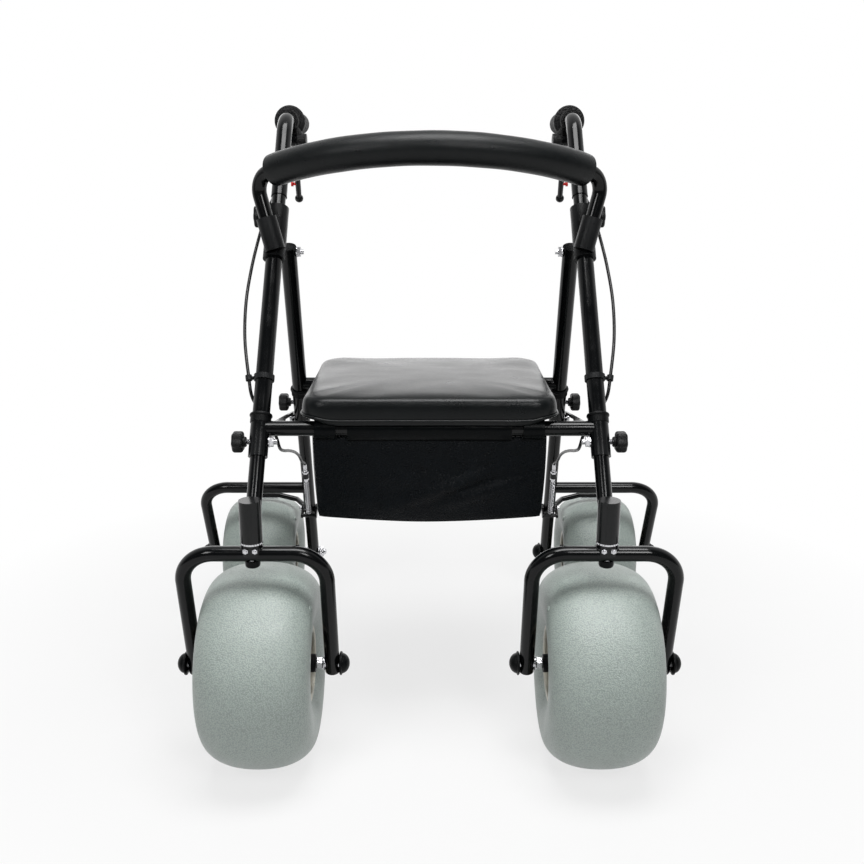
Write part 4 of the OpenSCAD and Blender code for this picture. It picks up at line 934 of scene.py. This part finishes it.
# Seat cushion: an inflated vinyl cover that wraps the board, with a piped lower edge
TUBE_Z = 0.500
TUBE_R = 0.011
TUBE_FRONT = leg_at(TUBE_Z)
TUBE_REAR = rear_at(TUBE_Z)
SEAT_W = 0.377
SEAT_DEPTH = 0.319
SEAT_CORNER = 0.042
SIDE_DRAW = 0.003
BOARD_INSET = 0.016
CROWN = 0.0028
LIP = 0.0088
LIP_FROM = 0.0135
LIP_FULL_X = 0.136
LIP_END_X = 0.170
LIP_CLEAR_R = 0.0147
LEAST_CORNER = 0.02
PLAN_STEPS = 10
SIDE_STEPS = 14


def plan(inset, middle, z):
    """Points round the seat at an inset: round corners, sides that draw in between them."""
    half_w, half_d = SEAT_W / 2 - inset, SEAT_DEPTH / 2 - inset
    corner = max(SEAT_CORNER - inset, LEAST_CORNER)
    outline = []
    flat_w, flat_d = half_w - corner, half_d - corner
    for sx, sy, start in ((1, 1, 0), (-1, 1, 90), (-1, -1, 180), (1, -1, 270)):
        outline += arc(sx * flat_w, sy * flat_d, corner, start, start + 90, PLAN_STEPS)
    points = []
    for (x0, y0), (x1, y1) in zip(outline, outline[1:] + outline[:1]):
        long_side = math.hypot(x1 - x0, y1 - y0) > corner
        for i in range(SIDE_STEPS if long_side else 1):
            x = x0 + (x1 - x0) * i / SIDE_STEPS
            y = y0 + (y1 - y0) * i / SIDE_STEPS
            if abs(x) > SEAT_W / 3:
                x -= math.copysign(SIDE_DRAW * max(0, 1 - (2 * y / SEAT_DEPTH) ** 4), x)
            if abs(y) > SEAT_DEPTH / 3:
                y -= math.copysign(SIDE_DRAW * max(0, 1 - (2 * x / SEAT_W) ** 4), y)
            points.append(Vector((middle.x + x, middle.y + y, z)))
    return points


def lipped(point, base):
    """A point of the cover with the front edge hanging lower, in front of the tube and clear of its hem."""
    if point.y > TUBE_FRONT.y:
        return point
    across = min(1, max(0, (LIP_END_X - abs(point.x)) / (LIP_END_X - LIP_FULL_X)))
    share = across * across * (3 - 2 * across) * min(1, max(0, 1 - (point.z - base) / LIP_FROM))
    behind = max(0, LIP_CLEAR_R ** 2 - (point.y - TUBE_FRONT.y) ** 2)
    lowest = TUBE_Z + math.sqrt(behind) if behind else 0
    return Vector((point.x, point.y, min(point.z, max(point.z - LIP * share, lowest))))


CLOTH_FRAMES = 20
CLOTH_VOXEL = 0.005
CLOTH_PRESSURE = 4
CLOTH_STIFFNESS = 25
CLOTH_BENDING = 3
CLOTH_CAP = 0.0015
CLOTH_NEAR = 30


def inflate(obj, floor_z):
    """Runs a copy of the cover as cloth under pressure, held at the board, and takes over its swell."""
    puffed = obj.copy()
    puffed.data = obj.data.copy()
    bpy.context.scene.collection.objects.link(puffed)
    remesh = puffed.modifiers.new("remesh", "REMESH")
    remesh.mode = "VOXEL"
    remesh.voxel_size = CLOTH_VOXEL
    apply_modifiers(puffed)
    rest = [v.co.copy() for v in puffed.data.vertices]
    held = puffed.vertex_groups.new(name="held")
    held.add([i for i, co in enumerate(rest) if co.z < floor_z + CLOTH_VOXEL], 1.0, "REPLACE")
    cloth = puffed.modifiers.new("cloth", "CLOTH")
    cloth.settings.use_pressure = True
    cloth.settings.uniform_pressure_force = CLOTH_PRESSURE
    cloth.settings.effector_weights.gravity = 0
    cloth.settings.vertex_group_mass = "held"
    cloth.settings.tension_stiffness = CLOTH_STIFFNESS
    cloth.settings.compression_stiffness = CLOTH_STIFFNESS
    cloth.settings.bending_stiffness = CLOTH_BENDING
    cloth.point_cache.frame_end = CLOTH_FRAMES
    for step in range(1, CLOTH_FRAMES + 1):
        bpy.context.scene.frame_set(step)
    apply_modifiers(puffed)
    moves = [vertex.co - start for vertex, start in zip(puffed.data.vertices, rest)]
    tree = KDTree(len(rest))
    for index, start in enumerate(rest):
        tree.insert(start, index)
    tree.balance()
    normals = [vertex.normal.copy() for vertex in obj.data.vertices]
    for vertex, normal in zip(obj.data.vertices, normals):
        near = tree.find_n(vertex.co, CLOTH_NEAR)
        swell = sum(moves[index].dot(normal) for _, index, _ in near) / len(near)
        vertex.co += normal * max(-CLOTH_CAP, min(CLOTH_CAP, swell))
    bpy.data.objects.remove(puffed)
    bpy.context.scene.frame_set(1)


POCKET_GAP = 0.0012
POCKET_ROOM = 0.0004
PIPING_R = 0.0018
PIPING_INSET = 0.0006
PIPING_Z = 0.0060

# The cover's side from the board up: insets and heights
COVER_SIDE = [(0.0058, 0.0003), (0.0028, 0.0020), (0.0010, 0.0062), (0.0, 0.0125), (0.0004, 0.0205),
              (0.0022, 0.0274), (0.0060, 0.0325), (0.0115, 0.0349), (0.021, 0.0358)]
CROWN_SHARES = (0.75, 0.5, 0.25, 0.08)


def soften(obj, rounds):
    """Evens out a mesh in a number of rounds."""
    smooth = obj.modifiers.new("smooth", "SMOOTH")
    smooth.factor = 0.4
    smooth.iterations = rounds


def make_cushion():
    low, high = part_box("seat_board")
    middle = (low + high) / 2
    base = low.z
    pocket = BOARD_INSET - SIDE_DRAW - POCKET_GAP
    levels = [(pocket, high.z - base + POCKET_ROOM), (pocket, FIT_GAP), *COVER_SIDE]
    rings = [plan(inset, middle, base + z) for inset, z in levels]
    top = rings[-1]
    for share in CROWN_SHARES:
        lift = CROWN * (1 - share * share)
        rings.append([Vector((middle.x + (p.x - middle.x) * share, middle.y + (p.y - middle.y) * share,
                              p.z + lift)) for p in top])
    cushion = mesh_object("seat_cushion_cover", loft(rings), VINYL)
    inflate(cushion, high.z)
    soften(cushion, 2)
    cushion.modifiers.new("finer", "SUBSURF")
    apply_modifiers(cushion)
    for vertex in cushion.data.vertices:
        vertex.co.z = max(vertex.co.z, base + FIT_GAP)
        vertex.co = lipped(vertex.co, base)
    cushion.data.shade_smooth()
    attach(cushion, "seat")
    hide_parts("seat_cushion")
    edge = [lipped(point, base) for point in plan(PIPING_INSET, middle, base + PIPING_Z)]
    edge.append(edge[0])
    piece("seat_piping", tube(edge, PIPING_R, 12, caps=False), VINYL, "seat")


make_cushion()


# Bag: a sewn shell hung from both seat tubes, open at the top
BAG_W = 0.336
BAG_TOP = 0.4885
BAG_LOW = 0.361
BAG_SAG = 0.008
BAG_RAKE = 0.016
BAG_DRAW = 0.003
BAG_BELLY = 0.006
BAG_PINCH = 0.007
BAG_FLARE = 0.002
BAG_WALL = 0.003
BAG_LEVELS = 26
BAG_FRONT_STEPS = 48
BAG_SIDE_STEPS = 30


# Creases of the front panel: place across and down, slope, width, height and length
CREASES = [
    (0.62, 0.58, -0.75, 0.055, 0.0095, 0.28), (0.79, 0.62, -0.7, 0.05, 0.0090, 0.26),
    (0.90, 0.58, -0.9, 0.04, 0.0048, 0.22), (0.68, 0.60, -0.72, 0.045, -0.0062, 0.24),
    (0.2, 0.75, 0.7, 0.09, 0.0044, 0.30), (0.36, 0.5, 0.25, 0.07, 0.0022, 0.22),
]
RIPPLE = 0.0014


def bag_creases(s, t):
    """Relief of the front panel, s and t from 0 to 1 across and down."""
    relief = RIPPLE * math.sin(9 * s + 4 * t) * math.sin(math.pi * t)
    for s0, t0, slope, width, height, length in CREASES:
        along = (s - s0) * math.cos(slope) + (t - t0) * math.sin(slope)
        across = (t - t0) * math.cos(slope) - (s - s0) * math.sin(slope)
        relief += height * math.exp(-(across / width) ** 2 - (along / length) ** 2)
    return relief


def bag_ring(t):
    """One level of the bag, t from 0 at the top to 1 at the bottom: each panel, then the side after it."""
    half = BAG_W / 2 - BAG_DRAW * t
    front = TUBE_FRONT.y + BAG_RAKE * t
    back = TUBE_REAR.y - BAG_RAKE * t
    z = BAG_TOP + (BAG_LOW - BAG_TOP) * t
    round_t = math.sin(math.pi * t)
    ring = []
    for way, edge, next_edge in ((-1, front, back), (1, back, front)):
        for i in range(BAG_FRONT_STEPS):
            s = i / BAG_FRONT_STEPS
            round_s = math.sin(math.pi * s)
            if way < 0:
                relief = bag_creases(s, t) * round_s * min(1, 4 * t)
            else:
                relief = 0.001 * math.sin(11 * s + 5 * t) * t
            y = edge + way * (BAG_BELLY * round_t * round_s + relief)
            ring.append(Vector((way * half * (1 - 2 * s), y, z - BAG_SAG * round_s * t ** 3)))
        for i in range(BAG_SIDE_STEPS):
            s = i / BAG_SIDE_STEPS
            pinch = (BAG_PINCH * t * math.sin(math.pi * s) - BAG_FLARE) * round_t
            ring.append(Vector((way * (pinch - half), edge + (next_edge - edge) * s, z)))
    return ring


FLOOR_SAG_SHARE = 1.25
FLOOR_DROP = 0.003
FLOOR_SHARES = (0.97, 0.9, 0.75, 0.5, 0.25)


def bag_floor(ring, share):
    """A ring of the floor, drawn in towards the middle and hanging lower there."""
    middle = sum(ring, Vector()) / len(ring)
    drawn = []
    for p in ring:
        q = middle + (p - middle) * share
        lowest = BAG_LOW - BAG_SAG * FLOOR_SAG_SHARE
        q.z = p.z * share + lowest * (1 - share) - FLOOR_DROP * min(1, (1 - share) * 8)
        drawn.append(q)
    return drawn


def make_bag():
    rings = [bag_ring(i / BAG_LEVELS) for i in range(BAG_LEVELS + 1)]
    rings += [bag_floor(rings[-1], share) for share in FLOOR_SHARES]
    bag = mesh_object("seat_bag", loft(rings, cap_first=False), CLOTH)
    wall = bag.modifiers.new("wall", "SOLIDIFY")
    wall.thickness = BAG_WALL
    wall.offset = -1
    soften(bag, 3)
    apply_modifiers(bag)
    bag.data.shade_smooth()
    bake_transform(bag)
    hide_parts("bag")


HEM_HALF = 0.118
HEM_T = 0.0022
HEM_DROP = 0.006
HEM_STEPS = 60
HEM_SIDES = 28


def make_hems():
    """The sewn sleeves that carry the bag on the tubes."""
    for name, spot, body in (("front", TUBE_FRONT, "front_frame"), ("rear", TUBE_REAR, "rear_frame")):
        rings = []
        for i in range(HEM_STEPS + 1):
            x = -HEM_HALF + 2 * HEM_HALF * i / HEM_STEPS
            slack = 0.00012 * math.sin(i * 1.9) + 0.0002 * math.sin(i * 0.7)
            ring = []
            for k in range(HEM_SIDES):
                a = math.tau * k / HEM_SIDES
                r = TUBE_R + HEM_T + slack * math.sin(a * 2)
                drop = HEM_DROP * max(0, -math.sin(a)) ** 3
                ring.append(Vector((x, spot.y + r * math.cos(a), TUBE_Z + r * math.sin(a) - drop)))
            rings.append(ring)
        piece(f"bag_hem_{name}", loft(rings), BINDING, body)


make_bag()
make_hems()


# Small fittings that only show as detail
SWIVEL = Vector((0.247, -0.284, 0))
STEM_CAP_R = 0.0106
STEM_CAP_H = 0.008
TOOTHED_R = 0.0151
TOOTHED_H = 0.0022
TOOTHED_BORE = 0.00906
TOOTHED_COUNT = 26
TOOTHED_SHARE = 0.04
CROWN_Z = 0.344
CROWN_BOLT = Vector((0.0065, -0.0135, 0.0095))
CROWN_BOLT_R = 0.0042
CROWN_BOLT_H = 0.0035
WELD_X = 0.01581
WELD_Y = 0.0112
WELD_Z = 0.0085
WELD_R = 0.0022
WELD_WAVE = 0.0005
WELD_STEPS = 60


def make_caster_fittings(name, side):
    """Bolts in the front of the crown, a toothed washer on it, a cap under the stem and a weld bead."""
    body = f"caster_{name}"
    crown = SWIVEL + Z_AXIS * CROWN_Z
    bolts = []
    for way in (-1, 1):
        seat = crown + mirrored(CROWN_BOLT, way)
        bolts.append(hex_prism(seat, -Y_AXIS, CROWN_BOLT_R, CROWN_BOLT_H, math.pi / 6))
        bolts.append(lathe([(0.0025, CROWN_BOLT_H), (0.0022, 0.0055), (0, 0.0058)], seat, -Y_AXIS, 16))
    piece(f"crown_bolts_{name}", join(*bolts), STEEL, body, side)
    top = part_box(f"caster_fork_{name}")[1].z + FIT_GAP
    rim = [(TOOTHED_BORE, 0), (TOOTHED_R, 0), (TOOTHED_R, TOOTHED_H), (TOOTHED_BORE, TOOTHED_H)]
    washer = lathe(rim, SWIVEL + Z_AXIS * top, Z_AXIS, TOOTHED_COUNT * 6, closed=True, lobes=TOOTHED_COUNT,
                   lobe_share=TOOTHED_SHARE)
    piece(f"swivel_washer_{name}", washer, STEEL, body, side)
    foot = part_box(f"caster_stem_{name}")[0].z
    profile = [(0.0, -0.0035), (STEM_CAP_R * 0.55, -0.003), (STEM_CAP_R * 0.9, -0.0012), (STEM_CAP_R, 0.001),
               (STEM_CAP_R, STEM_CAP_H)]
    cap = lathe(profile, SWIVEL + Z_AXIS * foot, Z_AXIS, 40)
    piece(f"stem_cap_{name}", cap, MOULDED, body, side)
    bead = []
    for k in range(WELD_STEPS):
        a = math.tau * k / WELD_STEPS
        lift = WELD_Z + WELD_WAVE * math.sin(k * 2.1)
        bead.append(crown + Vector((WELD_X * math.cos(a), WELD_Y * math.sin(a), lift)))
    bead.append(bead[0])
    weld = tube(bead, WELD_R, 10, caps=False)
    piece(f"crown_weld_{name}", weld, PAINT, body, side)


SHOE_LIFT = 0.007
SHOE_TURN = math.radians(6)
SHOE_RAY = Vector((0, -math.sin(SHOE_TURN), math.cos(SHOE_TURN)))
SHOE_INSET = 0.002
SHOE_PAST = 0.010
STRIP_HALF = 0.0038
STRIP_T = 0.0008
STRIP_SINK = 0.0004
TOOTH_COUNT = 18
TOOTH_SHARE = 0.3
TOOTH_HALF = 0.0034
TOOTH_T = 0.0016


def make_shoe_teeth(name, side):
    """The toothed strip under the brake shoe."""
    axle, size = left_box(f"rear_tyre_{name}", side)
    face = axle + SHOE_RAY * (size.z / 2 + SHOE_LIFT)
    first = SHOE_INSET - size.x / 4
    step = (SHOE_PAST - first) / TOOTH_COUNT
    across = SHOE_RAY.cross(X_AXIS)
    shapes = [box_shape(face + X_AXIS * (first + SHOE_PAST) / 2 + SHOE_RAY * STRIP_SINK,
                        X_AXIS * (SHOE_PAST - first) / 2, across * STRIP_HALF, SHOE_RAY * STRIP_T)]
    for i in range(TOOTH_COUNT):
        middle = face + X_AXIS * (first + step * (i + 0.5))
        shapes.append(box_shape(middle, X_AXIS * step * TOOTH_SHARE, across * TOOTH_HALF,
                                SHOE_RAY * TOOTH_T))
    piece(f"brake_shoe_teeth_{name}", join(*shapes), STEEL, f"brake_arm_{name}", side)


for side_name, side_sign in SIDES.items():
    make_caster_fittings(side_name, side_sign)
    make_shoe_teeth(side_name, side_sign)


# Studio: a white floor that keeps the shadows, a white surround and soft lamps
FLOOR_HALF = 6
WHITE_NEAR = 0.74
WHITE_FROM = 0.5
WHITE_TO = 1.1
WORLD_DIM = 0.12
BACK_RAMP = 0.25


def combine(tree, operation, first, second):
    """What a Math node makes of two values."""
    made = tree.nodes.new("ShaderNodeMath")
    made.operation = operation
    tree.links.new(first, made.inputs[0])
    tree.links.new(second, made.inputs[1])
    return made.outputs[0]


def shown_rays(tree, mirror_share=None):
    """1 for the rays that show the backdrop: the camera's, through glass, and in mirrors by a share."""
    rays = tree.nodes.new("ShaderNodeLightPath").outputs
    glossy = rays["Is Glossy Ray"]
    if mirror_share:
        glossy = combine(tree, "MULTIPLY", glossy, mirror_share)
    straight = combine(tree, "MAXIMUM", rays["Is Camera Ray"], rays["Is Transmission Ray"])
    return combine(tree, "MAXIMUM", straight, glossy)


def make_floor():
    """The floor shows its shadows near the part and runs out to plain white around it."""
    verts = [Vector((x, y, 0)) * FLOOR_HALF for x, y in ((-1, -1), (1, -1), (1, 1), (-1, 1))]
    surface = Finish("floor", (0.62, 0.62, 0.62, 1), 0.6, specular=0.1)
    tree = surface.tree
    reach = tree.nodes.new("ShaderNodeVectorMath")
    reach.operation = "LENGTH"
    surface.link(surface.place, reach.inputs[0])
    share = surface.spread(reach.outputs["Value"], WHITE_FROM, WHITE_TO, WHITE_NEAR, 1)
    white = tree.nodes.new("ShaderNodeEmission")
    mixed = tree.nodes.new("ShaderNodeMixShader")
    surface.link(combine(tree, "MULTIPLY", share, shown_rays(tree)), mixed.inputs[0])
    surface.link(surface.shader.outputs[0], mixed.inputs[1])
    surface.link(white.outputs[0], mixed.inputs[2])
    surface.link(mixed.outputs[0], tree.nodes["Material Output"].inputs["Surface"])
    mesh_object("floor", (verts, [(0, 1, 2, 3)]), surface)


def make_world():
    """White to the camera and in mirrors towards the back, dim from the front and as light."""
    world = bpy.data.worlds.new("studio")
    bpy.context.scene.world = world
    world.use_nodes = True
    tree = world.node_tree
    parts = tree.nodes.new("ShaderNodeSeparateXYZ")
    tree.links.new(tree.nodes.new("ShaderNodeTexCoord").outputs["Generated"], parts.inputs[0])
    behind = add_node(tree, "ShaderNodeMapRange", From_Min=-BACK_RAMP, From_Max=BACK_RAMP)
    tree.links.new(parts.outputs["Y"], behind.inputs["Value"])
    strength = add_node(tree, "ShaderNodeMapRange", To_Min=WORLD_DIM, To_Max=1)
    tree.links.new(shown_rays(tree, behind.outputs["Result"]), strength.inputs["Value"])
    background = tree.nodes["Background"]
    background.inputs["Color"].default_value = (1, 1, 1, 1)
    tree.links.new(strength.outputs["Result"], background.inputs["Strength"])


def make_lamp(name, place, target, size, power):
    data = bpy.data.lights.new(name, "AREA")
    data.shape = "RECTANGLE"
    data.size, data.size_y = size
    data.energy = power
    lamp = bpy.data.objects.new(name, data)
    lamp.location = place
    lamp.rotation_euler = (Vector(target) - Vector(place)).to_track_quat("-Z", "Y").to_euler()
    lamp.visible_camera = False
    bpy.context.scene.collection.objects.link(lamp)


make_floor()
make_world()
PART_MIDDLE = (0, -0.1, 0.4)
make_lamp("softbox_left", (-1.3, -2.0, 1.9), PART_MIDDLE, (0.6, 0.8), 18)
make_lamp("softbox_right", (0.9, -2.2, 2.1), PART_MIDDLE, (0.6, 0.8), 25)
make_lamp("overhead", (0.1, -0.5, 2.8), PART_MIDDLE, (1.7, 1.0), 72)
make_lamp("back_panel", (0, 3.2, 1.3), (0, 0, 0.5), (4.0, 1.6), 24)
bpy.context.scene.view_settings.view_transform = "Standard"
